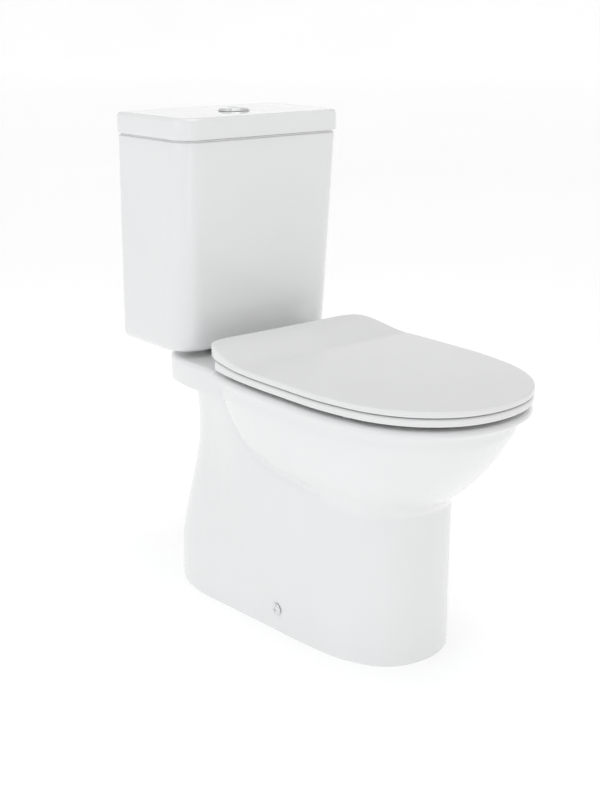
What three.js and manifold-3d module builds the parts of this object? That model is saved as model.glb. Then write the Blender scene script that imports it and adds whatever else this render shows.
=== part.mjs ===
// A close coupled toilet: a vitreous china pan with a cistern bolted on its rear shelf, a dual flush
// valve and a fill valve in the cistern, a push button in the cistern lid, and a hinged seat and lid.
// Millimetres, +Z up, the nose of the pan towards -Y, the wall behind the cistern towards +Y.
// The origin is on the floor, under the centre of the toilet's length and width.
import * as THREE from "three";
import { mergeVertices } from "three/addons/utils/BufferGeometryUtils.js";
import Module from "manifold-3d";

const wasm = await Module();
wasm.setup();

// ---------------------------------------------------------------- driving dimensions
const HEIGHT = 780;
const LENGTH = 706;
const REAR_Y = LENGTH / 2;
const NOSE_Y = -LENGTH / 2;
const GAP = 0.3;

// cistern
const LID_WIDTH = 317;
const LID_DEPTH = 195;
const LID_SKIRT = 33;
const LID_WALL = 11;
const LID_TOP_THICK = 10;
const TANK_TOP_INSET = 2.5;
const TANK_TOP_Z = HEIGHT - LID_SKIRT - GAP;
const TANK_FOOT_Z = 414;
const TANK_FOOT_WIDTH = 318;
const TANK_FOOT_DEPTH = 172;
const TANK_WALL = 9;
const TANK_FLOOR = 11;
const FLUSH_Y = 246;

// pan
const RIM_Z = 405;
const SHELF_BOTTOM_Z = 364;
const SHELF_CORNER = 1.5;
const SHELF_FLOOR_Z = 369;
const BELLY_CENTRE_Y = -60;
const BELLY_SHIFT = 0.076;
const CHINA_WALL = 12;
const DECK_THICK = 20;
const OUTLET_Z = 185;
const OUTLET_RADIUS = 51;
const OUTLET_BORE = 40;
const INLET_RADIUS = 31;
const DECK_BOTTOM = RIM_Z - DECK_THICK;

// seat
const RING_BOTTOM_Z = 411;
const RING_TOP_Z = 424.2;
const RING_REAR_Y = 98;
const LID_BOTTOM_Z = 425.4;
const SEAT_LID_THICK = 8.9;
const BACK_RISE = 15.7;
const BACK_RISE_SHARE = 0.31;
const RISE_START_Y = 11;
const RISE_END_Y = 120;
const HINGE_X = 78;
const HINGE_Y = 104;
const HINGE_Z = 432;
const PIN_RADIUS = 4;

// flush button, flush valve and fill valve
const BEZEL_RADIUS = 25.8;
const BEZEL_NECK_RADIUS = 24;
const BEZEL_BORE_RADIUS = 22.4;
const BUTTON_RADIUS = 21.9;
const BUTTON_SPLIT_X = 5;
const BUTTON_THICK = 4.4;
const BUTTON_PROUD = 4;
const FLUSH_TAIL_RADIUS = 28.4;
const TOWER_TOP_Z = 644;
const FILL_SHANK_RADIUS = 10;
const TANK_FLOOR_TOP_Z = TANK_FOOT_Z + TANK_FLOOR;

// fasteners
const BOLT_RADIUS = 4;
const TANK_BOLT_X = 84;
const TANK_BOLT_Y = 222;
const TANK_BOLT_TIP_Z = 371.5;
const TANK_HOLE_RADIUS = 5.2;
const HINGE_HOLE_RADIUS = 4.6;
const SIDE_SCREW_Y = -6;
const SIDE_SCREW_Z = 38;
const SIDE_WALL_X = 117;
const SIDE_HEAD_RADIUS = 10;
const FILL_X = 108;
const FILL_Y = 302;

// Half outlines run from the nose to the back on the +X side; the other half mirrors them.
const SEAT_HALF = [
  [0, NOSE_Y],
  [65, -340],
  [117, -301],
  [149, -248],
  [167, -168],
  [171, -77],
  [171, -3],
  [166, 56],
  [159, 92],
  [148, 112],
  [126, 121],
  [60, 121],
  [0, 121],
];
const FOOT_HALF = [
  [0, -221],
  [60, -203],
  [98, -146],
  [113, -60],
  [118, 12],
  [124, 96],
  [128, 200],
  [107, 265],
  [60, 305],
  [0, 316],
];
const SHELF_HALF = [
  [0, -221],
  [60, -203],
  [98, -146],
  [122, -60],
  [138, 20],
  [147, 96],
  [149, 190],
  [130, 250],
  [76, 289],
  [0, 297],
];
const BOWL_HALF = [
  [0, -300],
  [60, -287],
  [101, -235],
  [117, -160],
  [112, -80],
  [88, -10],
  [48, 22],
  [0, 30],
];

// ---------------------------------------------------------------- finishes
const china = new THREE.MeshStandardMaterial({ color: 0xf2f2f1, roughness: 0.08, metalness: 0 });
const seatPlastic = new THREE.MeshStandardMaterial({ color: 0xefefee, roughness: 0.16, metalness: 0 });
const chrome = new THREE.MeshStandardMaterial({ color: 0xd8dadd, roughness: 0.1, metalness: 1 });
const steel = new THREE.MeshStandardMaterial({ color: 0xb4b6b8, roughness: 0.3, metalness: 1 });
const rubber = new THREE.MeshStandardMaterial({ color: 0x1c1c1d, roughness: 0.8, metalness: 0 });
const buffer = new THREE.MeshStandardMaterial({ color: 0xd9dadb, roughness: 0.55, metalness: 0 });
const valvePlastic = new THREE.MeshStandardMaterial({ color: 0xe4e6e8, roughness: 0.4, metalness: 0 });
const bluePlastic = new THREE.MeshStandardMaterial({ color: 0x3d6fa5, roughness: 0.4, metalness: 0 });

// ---------------------------------------------------------------- solids and booleans

// A closed three.js geometry as a solid that can be joined and cut.
function toSolid(geometry) {
  const plain = new THREE.BufferGeometry();
  plain.setAttribute("position", geometry.getAttribute("position"));
  plain.setIndex(geometry.index);
  const merged = mergeVertices(plain, 1e-4);
  return new wasm.Manifold(
    new wasm.Mesh({
      numProp: 3,
      vertProperties: new Float32Array(merged.attributes.position.array),
      triVerts: new Uint32Array(merged.index.array),
    }),
  );
}

// A solid as a three.js geometry.
function toGeometry(solid) {
  const mesh = solid.getMesh();
  const geometry = new THREE.BufferGeometry();
  geometry.setAttribute("position", new THREE.BufferAttribute(mesh.vertProperties, 3));
  geometry.setIndex(new THREE.BufferAttribute(mesh.triVerts, 1));
  geometry.computeVertexNormals();
  return geometry;
}

// The base geometry with other geometries joined on, and then others cut away.
function shape(base, { join = [], cut = [] }) {
  let solid = toSolid(base);
  for (const piece of join) solid = solid.add(toSolid(piece));
  for (const piece of cut) solid = solid.subtract(toSolid(piece));
  return toGeometry(solid);
}

// A cylinder along Z, from z0 to z1, standing at x, y.
function post(radius, z0, z1, x = 0, y = 0, sides = 20) {
  const geometry = new THREE.CylinderGeometry(radius, radius, z1 - z0, sides);
  geometry.rotateX(Math.PI / 2);
  geometry.translate(x, y, (z0 + z1) / 2);
  return geometry;
}

// A cylinder along X, from x0 to x1.
function rod(radius, x0, x1, y, z, sides = 16) {
  const geometry = new THREE.CylinderGeometry(radius, radius, x1 - x0, sides);
  geometry.rotateZ(Math.PI / 2);
  geometry.translate((x0 + x1) / 2, y, z);
  return geometry;
}

// A box between two corners.
function block(low, high) {
  const size = high.map((value, axis) => value - low[axis]);
  const geometry = new THREE.BoxGeometry(...size);
  geometry.translate(...low.map((value, axis) => value + size[axis] / 2));
  return geometry;
}

// A turned piece along Z at x, y. The profile holds [radius, z] pairs, from the bottom up the outside,
// and closes on the axis or on itself.
function turned(profile, x = 0, y = 0, sides = 20) {
  const points = profile.map(([radius, z]) => new THREE.Vector2(radius, z));
  if (profile[0][0] > 0) points.push(points[0].clone());
  const geometry = new THREE.LatheGeometry(points, sides);
  geometry.rotateX(Math.PI / 2);
  geometry.translate(x, y, 0);
  return geometry;
}

// A ring or washer with a square section. Its bore's flats stand clear of the inner radius.
function washer(inner, outer, z0, z1, x = 0, y = 0, sides = 20) {
  const bore = inner / Math.cos(Math.PI / sides);
  const profile = [
    [bore, z0],
    [outer, z0],
    [outer, z1],
    [bore, z1],
  ];
  return turned(profile, x, y, sides);
}

// ---------------------------------------------------------------- outlines and lofts

// The whole outline of a symmetric shape: evenly spaced points round a smooth closed curve.
function outline(half, count) {
  const right = half.map(([x, y]) => new THREE.Vector3(x, y, 0));
  const left = half
    .slice(1, -1)
    .reverse()
    .map(([x, y]) => new THREE.Vector3(-x, y, 0));
  const curve = new THREE.CatmullRomCurve3([...right, ...left], true, "centripetal");
  return curve.getSpacedPoints(count).slice(0, count);
}

// A rectangle with its own radii on its back corners and its front corners.
function cisternOutline(halfWidth, backY, frontY, backRadius, frontRadius, steps = 4) {
  const corners = [
    [1, frontY + frontRadius, frontRadius, -90],
    [1, backY - backRadius, backRadius, 0],
    [-1, backY - backRadius, backRadius, 90],
    [-1, frontY + frontRadius, frontRadius, 180],
  ];
  const points = [];
  for (const [side, centreY, radius, start] of corners) {
    for (let step = 0; step <= steps; step++) {
      const angle = THREE.MathUtils.degToRad(start + (90 * step) / steps);
      const centreX = side * (halfWidth - radius);
      points.push(
        new THREE.Vector3(centreX + radius * Math.cos(angle), centreY + radius * Math.sin(angle), 0),
      );
    }
  }
  return points;
}

// An outline moved inwards by a distance, at a height that may depend on the point.
function level(points, inset, height) {
  const count = points.length;
  return points.map((point, index) => {
    const along = points[(index + 1) % count].clone().sub(points[(index + count - 1) % count]);
    along.normalize();
    const x = point.x - along.y * inset;
    const y = point.y + along.x * inset;
    return new THREE.Vector3(x, y, typeof height === "function" ? height(y) : height);
  });
}

// An outline scaled about a point on the centre line, at one height.
function scaled(points, factor, centreY, z) {
  return points.map((p) => new THREE.Vector3(p.x * factor, centreY + (p.y - centreY) * factor, z));
}

// A closed skin over a stack of levels, lowest first. It is capped at both ends, or, for a ring, its
// last level joins its first.
function loft(levels, ring = false) {
  const count = levels[0].length;
  const positions = levels.flat().flatMap((p) => [p.x, p.y, p.z]);
  const index = [];
  const spans = ring ? levels.length : levels.length - 1;
  for (let row = 0; row < spans; row++) {
    const next = (row + 1) % levels.length;
    for (let i = 0; i < count; i++) {
      const j = (i + 1) % count;
      const a = row * count + i;
      const b = row * count + j;
      const c = next * count + i;
      const d = next * count + j;
      index.push(a, b, d, a, d, c);
    }
  }
  if (!ring) {
    const ends = [levels[0], levels[levels.length - 1]];
    ends.forEach((end, top) => {
      const middle = end.reduce((sum, p) => sum.add(p), new THREE.Vector3()).divideScalar(count);
      const hub = positions.length / 3;
      positions.push(middle.x, middle.y, middle.z);
      const first = top ? (levels.length - 1) * count : 0;
      for (let i = 0; i < count; i++) {
        const j = (i + 1) % count;
        if (top) index.push(hub, first + i, first + j);
        else index.push(hub, first + j, first + i);
      }
    });
  }
  const geometry = new THREE.BufferGeometry();
  geometry.setAttribute("position", new THREE.Float32BufferAttribute(positions, 3));
  geometry.setIndex(index);
  geometry.computeVertexNormals();
  return geometry;
}

function smooth(from, to, value) {
  return THREE.MathUtils.smoothstep(value, from, to);
}

// ---------------------------------------------------------------- pan

// The belly's size at depths under the rim, as a share of the rim's size, lowest first.
const BELLY_ROWS = [
  [205, 0.36],
  [185, 0.46],
  [160, 0.6],
  [135, 0.7],
  [110, 0.776],
  [85, 0.838],
  [60, 0.886],
  [35, 0.929],
  [8, 0.968],
];

const rimOutline = level(outline(SEAT_HALF, 48), 2, 0);

// The bowl's rounded outside, from the rim down to where it is lost in the pedestal.
function bellyGeometry() {
  const levels = BELLY_ROWS.map(([depth, share]) => {
    const row = scaled(rimOutline, share, BELLY_CENTRE_Y, RIM_Z - depth);
    return row.map((p) => p.setY(p.y + BELLY_SHIFT * depth));
  });
  levels.push(level(rimOutline, 2, RIM_Z - 2.5), level(rimOutline, 7, RIM_Z));
  return loft(levels);
}

// The pedestal draws in at the back above the floor, and the shelf stands out over it as a slab.
function pedestalLevel(z, inset) {
  const foot = outline(FOOT_HALF, 40);
  const shelf = outline(SHELF_HALF, 40);
  const shelfShare = smooth(SHELF_BOTTOM_Z - SHELF_CORNER, SHELF_BOTTOM_Z + SHELF_CORNER, z);
  const points = foot.map((p, i) => {
    const pull = smooth(52, 275, z) * smooth(60, 220, p.y) * (1 - 0.15 * smooth(290, 360, z));
    const drawn = new THREE.Vector3(p.x * (1 - 0.2 * pull), p.y - 28 * pull, 0);
    return drawn.lerp(shelf[i], shelfShare);
  });
  return level(points, inset, z);
}

function pedestalGeometry(inset, bottom, top) {
  const heights = [bottom, 70, 120, 170, 220, 270, 310, 340, SHELF_BOTTOM_Z - SHELF_CORNER];
  const levels = heights.map((z) => pedestalLevel(z, inset));
  if (inset === 0) {
    levels.push(pedestalLevel(SHELF_BOTTOM_Z + SHELF_CORNER, 0), pedestalLevel(RIM_Z - 6, 0));
    levels.push(pedestalLevel(RIM_Z - 1.8, 1.8), pedestalLevel(RIM_Z, 6));
  } else {
    levels.push(levels.at(-1).map((p) => p.clone().setZ(SHELF_FLOOR_Z)));
    levels.push(pedestalLevel(SHELF_FLOOR_Z + 0.5, inset), pedestalLevel(top, inset));
  }
  return loft(levels);
}

// The bowl's hollow, or with a wall round it the china that holds it.
function bowlGeometry(wall) {
  const rows = [
    [203, 0.24],
    [207, 0.36],
    [235, 0.5],
    [275, 0.68],
    [320, 0.86],
    [365, 0.97],
    [RIM_Z + 1, 1],
  ];
  const points = outline(BOWL_HALF, 32);
  const sumpY = 8;
  const levels = rows.map(([z, share]) => {
    const centreY = THREE.MathUtils.lerp(sumpY, BELLY_CENTRE_Y, Math.min(1, share * 1.1));
    const drop = z > RIM_Z ? 0 : wall;
    return level(scaled(points, share, centreY, 0), -wall, z - drop);
  });
  return loft(levels);
}

// The trapway rises behind the sump, turns over the weir and runs down to the outlet.
function trapGeometry(radius, overrun) {
  const route = [
    [-12 - overrun, 222],
    [20, 246],
    [52, 268],
    [92, 258],
    [128, 222],
    [172, 192],
    [232, OUTLET_Z],
    [292 + overrun, OUTLET_Z],
  ];
  const path = new THREE.CatmullRomCurve3(
    route.map(([y, z]) => new THREE.Vector3(0, y, z)),
    false,
    "centripetal",
  );
  const section = new THREE.Shape();
  section.absarc(0, 0, radius, 0, Math.PI * 2, false);
  return new THREE.ExtrudeGeometry(section, { steps: 16, curveSegments: 7, extrudePath: path });
}

// The duct leads the flush from the shelf's inlet forward into the back of the bowl.
const DUCT_HALF_WIDTH = 22;
const DUCT_BOTTOM = 358;
const DUCT_TOP = 382;

function panGeometry() {
  const ductWall = block(
    [-DUCT_HALF_WIDTH - CHINA_WALL, 0, DUCT_BOTTOM - CHINA_WALL],
    [DUCT_HALF_WIDTH + CHINA_WALL, FLUSH_Y + 46, RIM_Z],
  );
  const trapTube = trapGeometry(OUTLET_RADIUS, 0);
  const hollow = shape(pedestalGeometry(CHINA_WALL, -1, DECK_BOTTOM), {
    cut: [bowlGeometry(CHINA_WALL), trapTube, ductWall],
  });
  const rearOpening = shape(block([-74, 240, 96], [74, 330, 290]), { cut: [trapTube] });
  const cuts = [
    hollow,
    rearOpening,
    bowlGeometry(0),
    trapGeometry(OUTLET_BORE, 4),
    block([-DUCT_HALF_WIDTH, 0, DUCT_BOTTOM], [DUCT_HALF_WIDTH, FLUSH_Y + DUCT_HALF_WIDTH, DUCT_TOP]),
    post(INLET_RADIUS, DUCT_BOTTOM + 12, RIM_Z + 1, 0, FLUSH_Y, 24),
  ];
  for (const side of [-1, 1]) {
    cuts.push(post(HINGE_HOLE_RADIUS, DECK_BOTTOM - 5, RIM_Z + 1, side * HINGE_X, HINGE_Y, 12));
    cuts.push(post(TANK_HOLE_RADIUS, DECK_BOTTOM - 5, RIM_Z + 1, side * TANK_BOLT_X, TANK_BOLT_Y, 12));
    cuts.push(rod(4, side * SIDE_WALL_X - 20, side * SIDE_WALL_X + 20, SIDE_SCREW_Y, SIDE_SCREW_Z, 12));
  }
  return shape(bellyGeometry(), { join: [pedestalGeometry(0, 0, RIM_Z), trapTube], cut: cuts });
}

// ---------------------------------------------------------------- cistern

function tankLevel(z, inset) {
  const share = (z - TANK_FOOT_Z) / (TANK_TOP_Z - TANK_FOOT_Z);
  const halfWidth = THREE.MathUtils.lerp(TANK_FOOT_WIDTH / 2, LID_WIDTH / 2 - TANK_TOP_INSET, share);
  const depth = THREE.MathUtils.lerp(TANK_FOOT_DEPTH, LID_DEPTH - TANK_TOP_INSET, share);
  const frontRadius = THREE.MathUtils.lerp(52, 33, share);
  const points = cisternOutline(halfWidth, REAR_Y, REAR_Y - depth, 15, frontRadius);
  return level(points, inset, z);
}

function tankGeometry() {
  const outside = loft([
    tankLevel(TANK_FOOT_Z, 12),
    tankLevel(TANK_FOOT_Z + 3, 4),
    tankLevel(TANK_FOOT_Z + 12, 0),
    tankLevel(TANK_TOP_Z, 0),
  ]);
  const floorZ = TANK_FOOT_Z + TANK_FLOOR;
  const inside = loft([tankLevel(floorZ, TANK_WALL), tankLevel(TANK_TOP_Z + 1, TANK_WALL)]);
  const holes = [
    post(FLUSH_TAIL_RADIUS + 0.6, TANK_FOOT_Z - 1, floorZ + 1, 0, FLUSH_Y, 24),
    post(FILL_SHANK_RADIUS + 1, TANK_FOOT_Z - 1, floorZ + 1, FILL_X, FILL_Y, 16),
  ];
  for (const side of [-1, 1]) {
    holes.push(post(TANK_HOLE_RADIUS, TANK_FOOT_Z - 1, floorZ + 1, side * TANK_BOLT_X, TANK_BOLT_Y, 12));
  }
  return shape(outside, { cut: [inside, ...holes] });
}

function cisternLidGeometry() {
  const points = cisternOutline(LID_WIDTH / 2, REAR_Y, REAR_Y - LID_DEPTH, 17, 34);
  const bottom = HEIGHT - LID_SKIRT;
  const outside = loft([
    level(points, 1.5, bottom),
    level(points, 0, bottom + 2),
    level(points, 0, HEIGHT - 7),
    level(points, 2, HEIGHT - 2),
    level(points, 7, HEIGHT),
  ]);
  const inside = loft([level(points, LID_WALL, bottom - 1), level(points, LID_WALL, HEIGHT - LID_TOP_THICK)]);
  return shape(outside, { cut: [inside, post(BEZEL_NECK_RADIUS + 0.4, bottom, HEIGHT + 1, 0, FLUSH_Y, 28)] });
}

// ---------------------------------------------------------------- dual flush button

// The collar stands on the lid; its threaded neck reaches down through the lid, with a ledge that
// stops the buttons.
function bezelGeometry() {
  const neckBottom = HEIGHT - 28;
  return turned(
    [
      [19, neckBottom],
      [BEZEL_NECK_RADIUS, neckBottom],
      [BEZEL_NECK_RADIUS, HEIGHT + GAP],
      [BEZEL_RADIUS, HEIGHT + GAP],
      [BEZEL_RADIUS, HEIGHT + 1.8],
      [BEZEL_RADIUS - 1.4, HEIGHT + 3],
      [BEZEL_BORE_RADIUS, HEIGHT + 3],
      [BEZEL_BORE_RADIUS, HEIGHT - 8],
      [16.5, HEIGHT - 8],
      [16.5, HEIGHT - 10],
      [19, HEIGHT - 10],
    ],
    0,
    FLUSH_Y,
    28,
  );
}

// A button is the part of a disc on one side of the split.
function buttonGeometry(side) {
  const split = BUTTON_SPLIT_X + side * 0.4;
  const half = Math.acos(split / BUTTON_RADIUS);
  const outlineShape = new THREE.Shape();
  if (side > 0) outlineShape.absarc(0, 0, BUTTON_RADIUS, -half, half, false);
  else outlineShape.absarc(0, 0, BUTTON_RADIUS, half, 2 * Math.PI - half, false);
  const geometry = new THREE.ExtrudeGeometry(outlineShape, {
    depth: BUTTON_THICK - 0.8,
    bevelSize: 0.8,
    bevelOffset: -0.8,
    bevelThickness: 0.8,
    bevelSegments: 1,
    curveSegments: 14,
  });
  geometry.translate(0, FLUSH_Y, HEIGHT + BUTTON_PROUD - BUTTON_THICK);
  return geometry;
}

// ---------------------------------------------------------------- flush valve and fill valve

// Tail, seat flange and tower in one moulding; the windows let the water in under the tower.
function flushValveGeometry() {
  const body = turned(
    [
      [22.5, 392],
      [FLUSH_TAIL_RADIUS, 392],
      [FLUSH_TAIL_RADIUS, TANK_FLOOR_TOP_Z + GAP],
      [37, TANK_FLOOR_TOP_Z + GAP],
      [37, 431],
      [34, 434],
      [34, TOWER_TOP_Z],
      [10, TOWER_TOP_Z],
      [10, TOWER_TOP_Z - 3],
      [30.5, TOWER_TOP_Z - 3],
      [30.5, 431],
      [22.5, 431],
    ],
    0,
    FLUSH_Y,
    24,
  );
  const windows = [
    block([-40, FLUSH_Y - 15, 437], [40, FLUSH_Y + 15, 474]),
    block([-15, FLUSH_Y - 40, 437], [15, FLUSH_Y + 40, 474]),
    block([-40, FLUSH_Y - 4, 500], [40, FLUSH_Y + 4, 620]),
  ];
  return shape(body, { cut: windows });
}

// The shank passes the cistern floor; the riser carries the float and the valve head.
function fillValveGeometry() {
  return turned(
    [
      [5, 372],
      [FILL_SHANK_RADIUS, 372],
      [FILL_SHANK_RADIUS, TANK_FLOOR_TOP_Z + GAP],
      [17, TANK_FLOOR_TOP_Z + GAP],
      [17, 432],
      [12, 434],
      [12, 650],
      [21, 654],
      [21, 684],
      [15, 690],
      [5, 690],
    ],
    FILL_X,
    FILL_Y,
    16,
  );
}

// ---------------------------------------------------------------- nuts

// A wing nut on a bolt along Z, with its wings across X.
function wingNutGeometry(x, y, z0) {
  const hub = washer(BOLT_RADIUS + 0.3, 8.5, z0, z0 + 8, x, y, 16);
  const wings = [-1, 1].map((side) =>
    block(
      [x + side * 11 - 4.5, y - 1.8, z0 - 3],
      [x + side * 11 + 4.5, y + 1.8, z0 + 6],
    ),
  );
  return shape(hub, { join: wings });
}

// ---------------------------------------------------------------- seat

// How far the seat's back end stands up, from nothing at the middle to all of it at the hinges.
function backRise(y) {
  return BACK_RISE * smooth(RISE_START_Y, RISE_END_Y, y);
}

const seatOutline = outline(SEAT_HALF, 48);
const RING_INNER_HALF = [
  [0, -266],
  [58, -251],
  [95, -200],
  [108, -130],
  [102, -50],
  [78, 14],
  [40, 40],
  [0, 46],
];
const KNUCKLE_RADIUS = 8;
const PIN_BORE_RADIUS = 4.2;
const EAR_NEAR = 8.6;
const EAR_FAR = 24;

// X limits of a piece beside a hinge post, between two distances from the post's middle. Outer pieces
// lie away from the centre line, inner pieces towards it.
function beside(side, outer, near, far) {
  const direction = outer ? side : -side;
  const edges = [near, far].map((distance) => side * HINGE_X + direction * distance);
  return [Math.min(...edges), Math.max(...edges)];
}

function seatRingGeometry() {
  const inner = outline(RING_INNER_HALF, 48);
  const top = (y) => RING_TOP_Z + BACK_RISE_SHARE * backRise(y);
  const body = loft(
    [
      level(seatOutline, 4, RING_BOTTOM_Z),
      level(seatOutline, 1, RING_BOTTOM_Z + 3),
      level(seatOutline, 1, (y) => top(y) - 2),
      level(seatOutline, 3, top),
      level(inner, -9, (y) => top(y) - 0.5),
      level(inner, 0, (y) => top(y) - 7),
      level(inner, -3, RING_BOTTOM_Z),
    ],
    true,
  );
  const join = [];
  const cut = [block([-170, RING_REAR_Y, 400], [170, 130, 440])];
  for (const side of [-1, 1]) {
    const [earLow, earHigh] = beside(side, true, EAR_NEAR, EAR_FAR);
    const [notchLow] = [side * HINGE_X - 27];
    cut.push(block([notchLow, 92, 400], [notchLow + 54, 130, 440]));
    join.push(rod(KNUCKLE_RADIUS, earLow, earHigh, HINGE_Y, HINGE_Z));
    join.push(block([earLow, 88, 419], [earHigh, HINGE_Y, HINGE_Z + 3]));
  }
  const notched = shape(body, { cut });
  const bores = [-1, 1].map((side) => {
    const [earLow, earHigh] = beside(side, true, EAR_NEAR - 1, EAR_FAR + 1);
    return rod(PIN_BORE_RADIUS, earLow, earHigh, HINGE_Y, HINGE_Z);
  });
  return shape(notched, { join, cut: bores });
}

const LID_BUFFERS = [
  [-124, -222],
  [124, -222],
];

function seatLidGeometry() {
  const bottom = (y) => LID_BOTTOM_Z + BACK_RISE_SHARE * backRise(y);
  const top = (y) => LID_BOTTOM_Z + SEAT_LID_THICK + backRise(y);
  const crown = (points, share) =>
    points.map((p) => {
      const y = THREE.MathUtils.lerp(-90, p.y, share);
      return new THREE.Vector3(p.x * share, y, top(y));
    });
  const body = loft([
    crown(seatOutline, 0.5).map((p) => p.setZ(bottom(p.y))),
    level(seatOutline, 3, bottom),
    level(seatOutline, 0.5, (y) => bottom(y) + 1.5),
    level(seatOutline, 0.5, (y) => top(y) - 3.5),
    level(seatOutline, 3.5, top),
    crown(seatOutline, 0.72),
    crown(seatOutline, 0.36),
  ]);
  const pockets = [];
  const join = [];
  for (const side of [-1, 1]) {
    const low = side * HINGE_X - 28;
    pockets.push(block([low, 86, 415], [low + 56, 130, 441.6]));
    const [earLow, earHigh] = beside(side, false, EAR_NEAR, EAR_FAR);
    join.push(rod(KNUCKLE_RADIUS, earLow, earHigh, HINGE_Y, HINGE_Z));
    join.push(block([earLow, HINGE_Y - 5, HINGE_Z], [earHigh, HINGE_Y + 5, 443]));
  }
  for (const [x, y] of LID_BUFFERS) pockets.push(post(7.6, 420, 429.2, x, y, 16));
  const hollowed = shape(body, { cut: pockets });
  const bores = [-1, 1].map((side) => {
    const [earLow, earHigh] = beside(side, false, EAR_NEAR - 1, EAR_FAR + 1);
    return rod(PIN_BORE_RADIUS, earLow, earHigh, HINGE_Y, HINGE_Z);
  });
  return shape(hollowed, { join, cut: bores });
}

// A hinge post: a round foot on the pan's deck, and an upright with a round head that holds the pin.
function hingePostGeometry(side) {
  const x = side * HINGE_X;
  const footTop = RIM_Z + 3;
  return shape(post(19, RIM_Z + GAP, footTop, x, HINGE_Y, 24), {
    join: [
      block([x - 8, HINGE_Y - 7, footTop - 1], [x + 8, HINGE_Y + 7, HINGE_Z]),
      rod(KNUCKLE_RADIUS, x - 8, x + 8, HINGE_Y, HINGE_Z),
    ],
    cut: [
      rod(PIN_RADIUS + GAP, x - 9, x + 9, HINGE_Y, HINGE_Z),
      post(BOLT_RADIUS + GAP, RIM_Z - 1, RIM_Z + 14, x, HINGE_Y, 14),
    ],
  });
}

// ---------------------------------------------------------------- the toilet

function part(group, name, geometry, material) {
  const mesh = new THREE.Mesh(geometry, material);
  mesh.name = name;
  group.add(mesh);
}

const SIDES = [
  ["left", -1],
  ["right", 1],
];

const panGroup = new THREE.Group();
part(panGroup, "pan", panGeometry(), china);
for (const [label, side] of SIDES) {
  const inner = side * (SIDE_WALL_X - CHINA_WALL - 2);
  const edges = (a, b) => [Math.min(side * a, side * b), Math.max(side * a, side * b)];
  const [plateLow, plateHigh] = edges(Math.abs(inner), Math.abs(inner) - 9);
  const [footLow, footHigh] = edges(60, Math.abs(inner) - 5);
  const bracket = shape(block([plateLow, SIDE_SCREW_Y - 18, 0.5], [plateHigh, SIDE_SCREW_Y + 18, 56]), {
    join: [block([footLow, SIDE_SCREW_Y - 18, 0.5], [footHigh, SIDE_SCREW_Y + 18, 7])],
    cut: [
      rod(3.9, plateLow - 1, plateHigh + 1, SIDE_SCREW_Y, SIDE_SCREW_Z, 12),
      post(3.6, -1, 8, side * 76, SIDE_SCREW_Y, 12),
    ],
  });
  part(panGroup, `floor_bracket_${label}`, bracket, valvePlastic);
  const [headLow, headHigh] = edges(SIDE_WALL_X + 1, SIDE_WALL_X + 4);
  const [shankLow, shankHigh] = edges(SIDE_WALL_X - 24, SIDE_WALL_X + 2);
  const sideScrew = shape(rod(SIDE_HEAD_RADIUS, headLow, headHigh, SIDE_SCREW_Y, SIDE_SCREW_Z), {
    join: [rod(3.4, shankLow, shankHigh, SIDE_SCREW_Y, SIDE_SCREW_Z, 12)],
  });
  part(panGroup, `side_screw_${label}`, sideScrew, chrome);
  const floorScrew = turned(
    [
      [0, 0.5],
      [3, 0.5],
      [3, 7.3],
      [6, 7.3],
      [5, 10.5],
      [0, 10.5],
    ],
    side * 76,
    SIDE_SCREW_Y,
    12,
  );
  part(panGroup, `floor_screw_${label}`, floorScrew, steel);
}

const cisternGroup = new THREE.Group();
part(cisternGroup, "cistern_tank", tankGeometry(), china);
part(
  cisternGroup,
  "doughnut_gasket",
  washer(38.6, 52, RIM_Z + GAP, TANK_FOOT_Z - GAP, 0, FLUSH_Y, 28),
  rubber,
);
part(cisternGroup, "flush_valve_body", flushValveGeometry(), valvePlastic);
part(
  cisternGroup,
  "flush_valve_nut",
  washer(FLUSH_TAIL_RADIUS + GAP, 38, RIM_Z + 0.8, TANK_FOOT_Z - GAP, 0, FLUSH_Y, 24),
  valvePlastic,
);
part(cisternGroup, "flush_seal", washer(14.3, 28, 431.3, 435.3, 0, FLUSH_Y, 24), rubber);
part(cisternGroup, "overflow_tube", washer(11, 14, 431.3, 622, 0, FLUSH_Y, 20), bluePlastic);
part(cisternGroup, "fill_valve_body", fillValveGeometry(), valvePlastic);
part(cisternGroup, "fill_float", washer(12.6, 27, 520, 578, FILL_X, FILL_Y, 20), bluePlastic);
part(
  cisternGroup,
  "fill_valve_seal",
  washer(FILL_SHANK_RADIUS + GAP, 17, TANK_FOOT_Z - 3.3, TANK_FOOT_Z - GAP, FILL_X, FILL_Y, 16),
  rubber,
);
const hexNut = shape(post(16, TANK_FOOT_Z - 12, TANK_FOOT_Z - 3.6, FILL_X, FILL_Y, 6), {
  cut: [post(FILL_SHANK_RADIUS + 0.5, TANK_FOOT_Z - 13, TANK_FOOT_Z, FILL_X, FILL_Y, 16)],
});
part(cisternGroup, "fill_valve_nut", hexNut, valvePlastic);
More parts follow.
